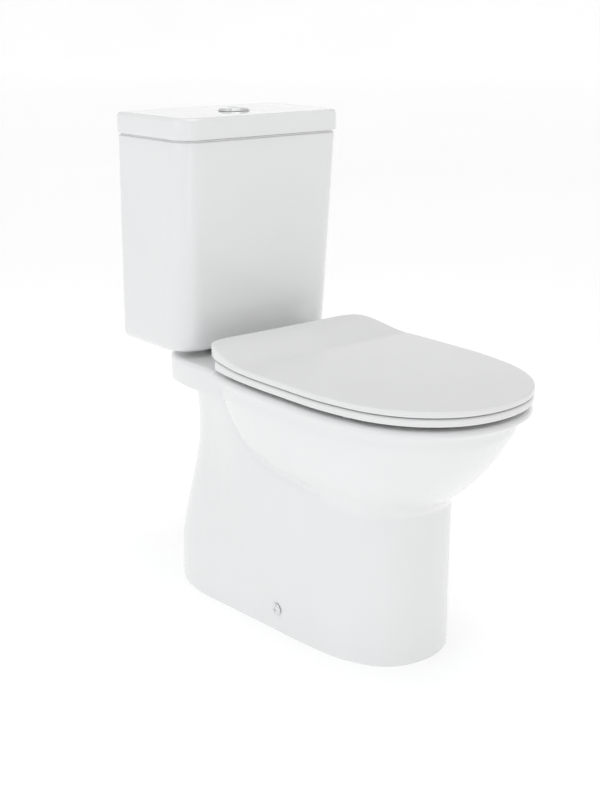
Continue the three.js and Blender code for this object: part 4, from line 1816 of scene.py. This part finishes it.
@dataclass
class TankBolt:
    """A bolt that clamps the tank to the shelf, with its seal, washer and wing nut."""

    side: Side
    x: float = 84.0
    y: float = 222.0
    floor_top: float = 425.0
    deck_bottom: float = 385.0

    def dress(self, bench: Bench) -> None:
        """Builds and fits the bolt and what is on it.

        Args:
            bench: Where they are dressed.
        """
        x, label = self.side.value * self.x, self.side.label
        top = self.floor_top + 8
        bolt = [
            (0, 371.5),
            (3, 371.5),
            *threads(4, 372.5, 400, 1.25, 0.45),
            (3.7, 401),
            (4, top + 0.3),
            (9, top + 0.3),
            (9, top + 2.5),
            (7, top + 5),
            (4, top + 6),
            (0, top + 6),
        ]
        head = combine(
            turn(bolt, x, self.y, radius=0.4, segments=48),
            brick((x - 6.5, self.y - 0.8, top + 3.4), (x + 6.5, self.y + 0.8, top + 8), 0.1),
            Cut.AWAY,
        )
        bench.fit_mesh(f"clamp_bolt_{label}", head, Body.FIXED, Slot.STEEL, f"tank_bolt_{label}")
        low = self.floor_top + 0.3
        seal = [(4.3, low), (11, low), (11, low + 2.7), (8, top), (4.3, top)]
        bench.fit_mesh(
            f"clamp_seal_{label}",
            turn(seal, x, self.y),
            Body.FIXED,
            Slot.RUBBER,
            f"tank_bolt_seal_{label}",
        )
        deck = self.deck_bottom
        washer = [(4.3, deck - 3), (12, deck - 3), (12, deck - 0.3), (4.3, deck - 0.3)]
        bench.fit_mesh(
            f"clamp_washer_{label}",
            turn(washer, x, self.y),
            Body.FIXED,
            Slot.RUBBER,
            f"tank_bolt_washer_{label}",
        )
        bench.fit_mesh(
            f"clamp_nut_{label}",
            wing_nut(x, self.y, deck - 11.3),
            Body.FIXED,
            Slot.STEEL,
            f"tank_wing_nut_{label}",
        )


# ---------------------------------------------------------------- seat


@dataclass
class SeatForm:
    """The sizes that the ring, the lid and the hinges share."""

    columns: int = 320
    ring_bottom: float = 411.0
    ring_top: float = 424.2
    lid_bottom: float = 425.4
    lid_thick: float = 8.9
    rise: float = 15.7
    rise_share: float = 0.31
    rise_start: float = 11.0
    rise_end: float = 120.0
    hinge_x: float = 78.0
    hinge_y: float = 104.0
    hinge_z: float = 432.0
    knuckle: float = 8.0
    pin_bore: float = 4.2
    ear_near: float = 8.6
    ear_far: float = 24.0

    def outline(self) -> np.ndarray:
        """The seat's outline."""
        return mirrored(SEAT_HALF, self.columns)

    def back_rise(self, y: np.ndarray | float) -> np.ndarray:
        """How far the back end stands up at a Y."""
        return self.rise * smoothstep(self.rise_start, self.rise_end, y)

    def under(self, outline: np.ndarray, base: float) -> np.ndarray:
        """Heights over a base that follow the small share of the rise."""
        return base + self.rise_share * self.back_rise(outline[:, 1])

    def lid_top(self, outline: np.ndarray) -> np.ndarray:
        """Heights of the lid's top."""
        return self.lid_bottom + self.lid_thick + self.back_rise(outline[:, 1])

    def beside(self, side: Side, outer: bool, near: float, far: float) -> tuple[float, float]:
        """X limits of a piece beside a hinge post.

        Args:
            side: The post's side.
            outer: Whether the piece lies away from the centre line.
            near: Its nearer distance from the post's middle.
            far: Its further distance.

        Returns:
            The lower and the higher X.
        """
        direction = side.value if outer else -side.value
        limits = sorted(side.value * self.hinge_x + direction * d for d in (near, far))
        return limits[0], limits[1]

    def ear(self, side: Side, outer: bool, web: bpy.types.Mesh) -> bpy.types.Mesh:
        """A knuckle round the hinge pin with the web that holds it.

        Args:
            side: The post's side.
            outer: Whether it lies away from the centre line.
            web: The web, which is used up.

        Returns:
            The mesh, bored for the pin.
        """
        low, high = self.beside(side, outer, self.ear_near, self.ear_far)
        knuckle = turn_across(
            [(0, low), (self.knuckle, low), (self.knuckle, high), (0, high)],
            self.hinge_y,
            self.hinge_z,
            0.8,
        )
        whole = combine(web, knuckle, Cut.ON)
        bore = turn_across(
            [(0, low - 2), (self.pin_bore, low - 2), (self.pin_bore, high + 2), (0, high + 2)],
            self.hinge_y,
            self.hinge_z,
            0.05,
        )
        return combine(whole, bore, Cut.AWAY)


@dataclass
class SeatRing:
    """The ring of the seat, with its buffers and the outer hinge knuckles."""

    form: SeatForm
    inner_half: tuple[Point, ...] = (
        (0, -266),
        (58, -251),
        (95, -200),
        (108, -130),
        (102, -50),
        (78, 14),
        (40, 40),
        (0, 46),
    )
    rear_cut: float = 88.0
    outer_inset: float = 1.0
    edge: float = 3.2
    clearance: float = 1.4
    slack: float = 0.8

    def body(self) -> bpy.types.Mesh:
        """The ring with soft edges, notched for the hinge posts.

        Returns:
            The mesh.
        """
        form = self.form
        outer = form.outline()
        inner = mirrored(self.inner_half, form.columns)
        levels = []

        def add(outline: np.ndarray, distance: float, base: float) -> None:
            """Adds a level at a base height that rises at the back.

            Args:
                outline: The outline it starts from.
                distance: How far inside that outline it runs.
                base: Its height before the rise.
            """
            moved = inset(outline, distance)
            rise = form.under(moved, 0.0) if base > form.ring_bottom + 6 else 0.0
            levels.append(at_height(moved, base + rise))

        low, high, edge = form.ring_bottom + self.clearance, form.ring_top - self.slack, self.edge
        for angle in np.radians(np.linspace(0, 90, 6)):
            add(outer, self.outer_inset + edge * (1 - math.sin(angle)), low + edge * (1 - math.cos(angle)))
        for angle in np.radians(np.linspace(0, 90, 6)):
            add(outer, self.outer_inset + edge * (1 - math.cos(angle)), high - edge * (1 - math.sin(angle)))
        for share in (0.25, 0.5, 0.75):
            start, end = inset(outer, self.outer_inset + edge), inset(inner, -9)
            middle = start + (end - start) * share
            levels.append(at_height(middle, form.under(middle, high)))
        for angle in np.radians(np.linspace(0, 90, 7)):
            add(inner, -9 * (1 - math.sin(angle)), high - 7.5 * (1 - math.cos(angle)))
        add(inner, -0.6, low + 3)
        add(inner, -3, low)
        for share in (0.2, 0.5, 0.8):
            start, end = inset(inner, -3), inset(outer, self.outer_inset + edge)
            levels.append(at_height(start + (end - start) * share, low))
        ring = loft(levels, ring=True)
        ring = combine(ring, brick((-200, self.rear_cut, 395), (200, 140, 445), 2.5), Cut.AWAY)
        for side in Side:
            x = side.value * form.hinge_x
            ring = combine(ring, brick((x - 27, 92, 395), (x + 27, 135, 445), 2.0), Cut.AWAY)
        for side in Side:
            low_x, high_x = form.beside(side, True, form.ear_near, form.ear_far)
            web = brick((low_x, 78, 418), (high_x, form.hinge_y, form.hinge_z + 3), 1.0)
            ring = combine(ring, form.ear(side, True, web), Cut.ON)
        return ring

    def buffer(self, x: float, y: float) -> bpy.types.Mesh:
        """A soft round foot under the ring.

        Args:
            x: Its X.
            y: Its Y.

        Returns:
            The mesh.
        """
        profile = [(0, 405.3), (5, 405.3), (8.2, 406.6), (9, 408.4), (9, 410.7), (0, 410.7)]
        return turn(profile, x, y, radius=0.6, segments=48)

    def dress(self, bench: Bench) -> None:
        """Builds and fits the ring and its buffers.

        Args:
            bench: Where they are dressed.
        """
        bench.fit_mesh("seat_hoop", self.body(), Body.SEAT_RING, Slot.SEAT, "seat_ring")
        for side in Side:
            for place, x, y in (("front", 140, -196), ("rear", 136, 20)):
                mesh = self.buffer(side.value * x, y)
                name = f"{place}_{side.label}"
                bench.fit_mesh(
                    f"hoop_buffer_{name}", mesh, Body.SEAT_RING, Slot.BUFFER, f"ring_buffer_{name}"
                )


@dataclass
class SeatLid:
    """The lid of the seat, with its buffers and the inner hinge knuckles."""

    form: SeatForm
    outer_inset: float = 0.5
    edge: float = 2.6
    lower_edge: float = 2.2
    recess: float = 2.2
    border: float = 16.0
    buffer_x: float = 124.0
    buffer_y: float = -222.0

    def body(self) -> bpy.types.Mesh:
        """The lid: a shallow tray with soft edges, pocketed over the hinges.

        Returns:
            The mesh.
        """
        form = self.form
        outer = form.outline()
        levels = []
        for share in (0.04, 0.3, 0.6, 0.8):
            core = scaled(inset(outer, self.border + 6), share, -90)
            levels.append(at_height(core, form.under(core, form.lid_bottom + self.recess)))
        for distance, lift in (
            (self.border + 6, 1.0), (self.border + 3, 0.85), (self.border, 0.1), (self.border - 1.5, 0.0)
        ):
            core = inset(outer, distance)
            levels.append(at_height(core, form.under(core, form.lid_bottom + lift * self.recess)))
        for angle in np.radians(np.linspace(0, 90, 4)):
            core = inset(outer, self.outer_inset + self.lower_edge * (1 - math.sin(angle)))
            base = form.lid_bottom + self.lower_edge * (1 - math.cos(angle))
            levels.append(at_height(core, form.under(core, base)))
        for angle in np.radians(np.linspace(0, 90, 7)):
            core = inset(outer, self.outer_inset + self.edge * (1 - math.cos(angle)))
            levels.append(at_height(core, form.lid_top(core) - self.edge * (1 - math.sin(angle))))
        shoulder = inset(outer, self.outer_inset + self.edge + 3)
        for share in np.linspace(1, 0.03, 22):
            core = scaled(shoulder, share, -90)
            levels.append(at_height(core, form.lid_top(core)))
        lid = loft(levels)
        for side in Side:
            x = side.value * form.hinge_x
            lid = combine(lid, brick((x - 28, 86, 405), (x + 28, 135, 441.6), 1.5), Cut.AWAY)
            pocket = turn(
                [(0, 420), (7.6, 420), (7.6, 429.2), (0, 429.2)],
                side.value * self.buffer_x,
                self.buffer_y,
                0.3,
            )
            lid = combine(lid, pocket, Cut.AWAY)
        for side in Side:
            low_x, high_x = form.beside(side, False, form.ear_near, form.ear_far)
            web = brick((low_x, form.hinge_y - 5, form.hinge_z), (high_x, form.hinge_y + 5, 442.6), 0.6)
            lid = combine(lid, form.ear(side, False, web), Cut.ON)
        return lid

    def dress(self, bench: Bench) -> None:
        """Builds and fits the lid and its buffers.

        Args:
            bench: Where they are dressed.
        """
        bench.fit_mesh("seat_cover", self.body(), Body.SEAT_LID, Slot.SEAT, "seat_lid")
        for side in Side:
            profile = [(0, 424.5), (4, 424.5), (6.4, 425.4), (7, 426.6), (7, 428.9), (0, 428.9)]
            mesh = turn(profile, side.value * self.buffer_x, self.buffer_y, radius=0.5, segments=48)
            bench.fit_mesh(
                f"cover_buffer_{side.label}", mesh, Body.SEAT_LID, Slot.BUFFER, f"lid_buffer_{side.label}"
            )


@dataclass
class SeatHinge:
    """One hinge: a chromed post, its pin, and the stud, washer and wing nut that hold it."""

    side: Side
    form: SeatForm
    rim_z: float = 405.0
    deck_bottom: float = 385.0

    def post(self) -> bpy.types.Mesh:
        """The post: a round foot, an upright and a head for the pin.

        Returns:
            The mesh.
        """
        form, low = self.form, self.rim_z + 0.3
        x, y, z = self.side.value * form.hinge_x, form.hinge_y, form.hinge_z
        foot = turn(
            [(0, low), (19, low), (19, low + 1.2), (17.6, low + 2.4), (9, low + 2.7), (0, low + 2.7)],
            x,
            y,
            0.4,
        )
        upright = brick((x - 8, y - 7, low + 1.5), (x + 8, y + 7, z), 1.2)
        head = turn_across([(0, x - 8), (8, x - 8), (8, x + 8), (0, x + 8)], y, z, 0.8)
        whole = combine(combine(foot, upright, Cut.ON), head, Cut.ON)
        bore = turn_across([(0, x - 12), (4.3, x - 12), (4.3, x + 12), (0, x + 12)], y, z, 0.05)
        stud = turn(
            [(0, low - 3), (4.3, low - 3), (4.3, self.rim_z + 14), (0, self.rim_z + 14)], x, y, 0.05
        )
        return combine(combine(whole, bore, Cut.AWAY), stud, Cut.AWAY)

    def dress(self, bench: Bench) -> None:
        """Builds and fits the hinge.

        Args:
            bench: Where it is dressed.
        """
        form, label = self.form, self.side.label
        x, y, deck = self.side.value * form.hinge_x, form.hinge_y, self.deck_bottom
        bench.fit_mesh(f"hinge_stand_{label}", self.post(), Body.FIXED, Slot.CHROME, f"hinge_post_{label}")
        pin = turn_across([(0, x - 25), (4, x - 25), (4, x + 25), (0, x + 25)], y, form.hinge_z, 0.8)
        bench.fit_mesh(f"hinge_axle_{label}", pin, Body.FIXED, Slot.STEEL, f"hinge_pin_{label}")
        stud = [(0, 356), (3, 356), *threads(4, 357, 404, 1.25, 0.45), (3.8, 405), (4, 418), (0, 418)]
        bench.fit_mesh(
            f"hinge_rod_{label}", turn(stud, x, y, 0.3, 40), Body.FIXED, Slot.STEEL, f"hinge_stud_{label}"
        )
        washer = [(4.3, deck - 3), (12, deck - 3), (12, deck - 0.3), (4.3, deck - 0.3)]
        bench.fit_mesh(
            f"hinge_pad_{label}", turn(washer, x, y), Body.FIXED, Slot.RUBBER, f"hinge_washer_{label}"
        )
        nut = wing_nut(x, y, deck - 11.3)
        bench.fit_mesh(f"hinge_nut_{label}", nut, Body.FIXED, Slot.VALVE, f"hinge_wing_nut_{label}")


# ---------------------------------------------------------------- studio


@dataclass(frozen=True)
class Lamp:
    """A soft box.

    Attributes:
        name: Its name.
        place: Where it hangs, in metres.
        size: Its width and height, in metres.
        power: Its power in watts.
        colour: Its colour.
    """

    name: str
    place: tuple[float, float, float]
    size: Point
    power: float
    colour: Colour = (1.0, 1.0, 1.0)


@dataclass
class Studio:
    """The floor, the light and the camera."""

    lens: float = 57.82
    camera_place: tuple[float, float, float] = (-1.244106, -1.439097, 0.945146)
    azimuth: float = 39.326
    elevation: float = 17.22
    target: tuple[float, float, float] = (0.0, 0.0, 0.4)
    sky: float = 0.60
    fall: tuple[float, float, float] = (-0.12, 0.04, 0.12)
    cove: float = 7.0
    lamps: tuple[Lamp, ...] = (
        Lamp("left_box", (-2.8, 0.3, 1.4), (1.4, 1.8), 4.5, (0.86, 0.93, 1.0)),
        Lamp("low_box", (-1.15, -1.5, 0.36), (0.5, 0.7), 0.5),
        Lamp("front_box", (-2.2, -2.6, 2.4), (1.6, 1.6), 7.0, (0.95, 0.98, 1.0)),
        Lamp("top_box", (0.2, -0.2, 3.0), (1.6, 1.6), 14.0),
    )

    def camera(self) -> None:
        """Stands the camera in its place."""
        data = bpy.data.cameras.new("camera")
        data.lens = self.lens
        data.sensor_width = 36.0
        data.clip_start = 0.05
        data.clip_end = 200.0
        stand = bpy.data.objects.new("camera", data)
        bpy.context.scene.collection.objects.link(stand)
        flat = math.cos(math.radians(self.elevation))
        look = Vector(
            (
                flat * math.sin(math.radians(self.azimuth)),
                flat * math.cos(math.radians(self.azimuth)),
                -math.sin(math.radians(self.elevation)),
            )
        )
        stand.location = self.camera_place
        stand.rotation_euler = look.to_track_quat("-Z", "Y").to_euler()
        bpy.context.scene.camera = stand

    def floor(self) -> None:
        """Lays the pale floor, which sweeps up into a cove far behind the toilet."""
        profile = [(0.3, 0.0), (2.0, 0.0), (6.0, 0.0), (12.0, 0.0), (18.0, 0.0)]
        bend = np.radians(np.linspace(5, 90, 18))
        profile += [(18.0 + self.cove * math.sin(a), self.cove * (1 - math.cos(a))) for a in bend]
        ring = disc_outline(1.0, count=96)
        points = [(r * x, r * y, z - 0.0005) for r, z in profile for x, y in ring]
        faces = [
            (row * 96 + i, (row + 1) * 96 + i, (row + 1) * 96 + (i + 1) % 96, row * 96 + (i + 1) % 96)
            for row in range(len(profile) - 1)
            for i in range(96)
        ]
        mesh = bpy.data.meshes.new("floor")
        mesh.from_pydata(points, [], [tuple(range(96)), *faces])
        for polygon in mesh.polygons:
            polygon.use_smooth = True
        material = Finish(
            "pale_floor",
            light=(0.70, 0.70, 0.70),
            dark=(0.685, 0.685, 0.685),
            cloud_scale=0.6,
            roughness=(0.75, 0.85),
            grain_scale=120.0,
            grain=0.00002,
        ).build()
        shader = material.node_tree.nodes["Principled BSDF"]
        shader.inputs["Emission Color"].default_value = (1, 1, 1, 1)
        shader.inputs["Emission Strength"].default_value = 0.45
        mesh.materials.append(material)
        sheet = bpy.data.objects.new("floor", mesh)
        bpy.context.scene.collection.objects.link(sheet)

    def light(self) -> None:
        """Hangs the soft boxes and sets the even light round them."""
        world = bpy.data.worlds.new("studio")
        world.use_nodes = True
        backdrop = world.node_tree.nodes["Background"]
        backdrop.inputs["Color"].default_value = (1.0, 1.0, 1.0, 1.0)
        nodes, links = world.node_tree.nodes, world.node_tree.links
        place = nodes.new("ShaderNodeTexCoord")
        slope = nodes.new("ShaderNodeVectorMath")
        slope.operation = "DOT_PRODUCT"
        slope.inputs[1].default_value = self.fall
        total = nodes.new("ShaderNodeMath")
        total.operation = "ADD"
        total.inputs[1].default_value = self.sky
        links.new(place.outputs["Generated"], slope.inputs[0])
        links.new(slope.outputs["Value"], total.inputs[0])
        links.new(total.outputs["Value"], backdrop.inputs["Strength"])
        bpy.context.scene.world = world
        bpy.context.scene.view_settings.view_transform = "Standard"
        for lamp in self.lamps:
            data = bpy.data.lights.new(lamp.name, "AREA")
            data.shape = "RECTANGLE"
            data.size, data.size_y = lamp.size
            data.energy = lamp.power
            data.color = lamp.colour
            box = bpy.data.objects.new(lamp.name, data)
            box.location = lamp.place
            aim = Vector(self.target) - Vector(lamp.place)
            box.rotation_euler = aim.to_track_quat("-Z", "Y").to_euler()
            box.visible_camera = False
            bpy.context.scene.collection.objects.link(box)

    def build(self) -> None:
        """Sets up the whole studio."""
        self.camera()
        self.floor()
        self.light()


def main() -> None:
    """Builds the studio and every sub-assembly, and reports each piece."""
    logging.basicConfig(level=logging.INFO, format="%(name)s: %(message)s")
    Studio().build()
    bench = Bench()
    form = SeatForm()
    assemblies: list[Callable[[Bench], None]] = [Pan().dress]
    assemblies += [FloorFixing(side).dress for side in Side]
    assemblies += [Cistern().dress, CisternLid().dress, FlushButton().dress]
    assemblies += [FlushValve().dress, FillValve().dress]
    assemblies += [TankBolt(side).dress for side in Side]
    assemblies += [SeatRing(form).dress, SeatLid(form).dress]
    assemblies += [SeatHinge(side, form).dress for side in Side]
    for dress in assemblies:
        dress(bench)
    log.info("%d pieces fitted", len(bench.fitted))


if __name__ == "__main__":
    main()
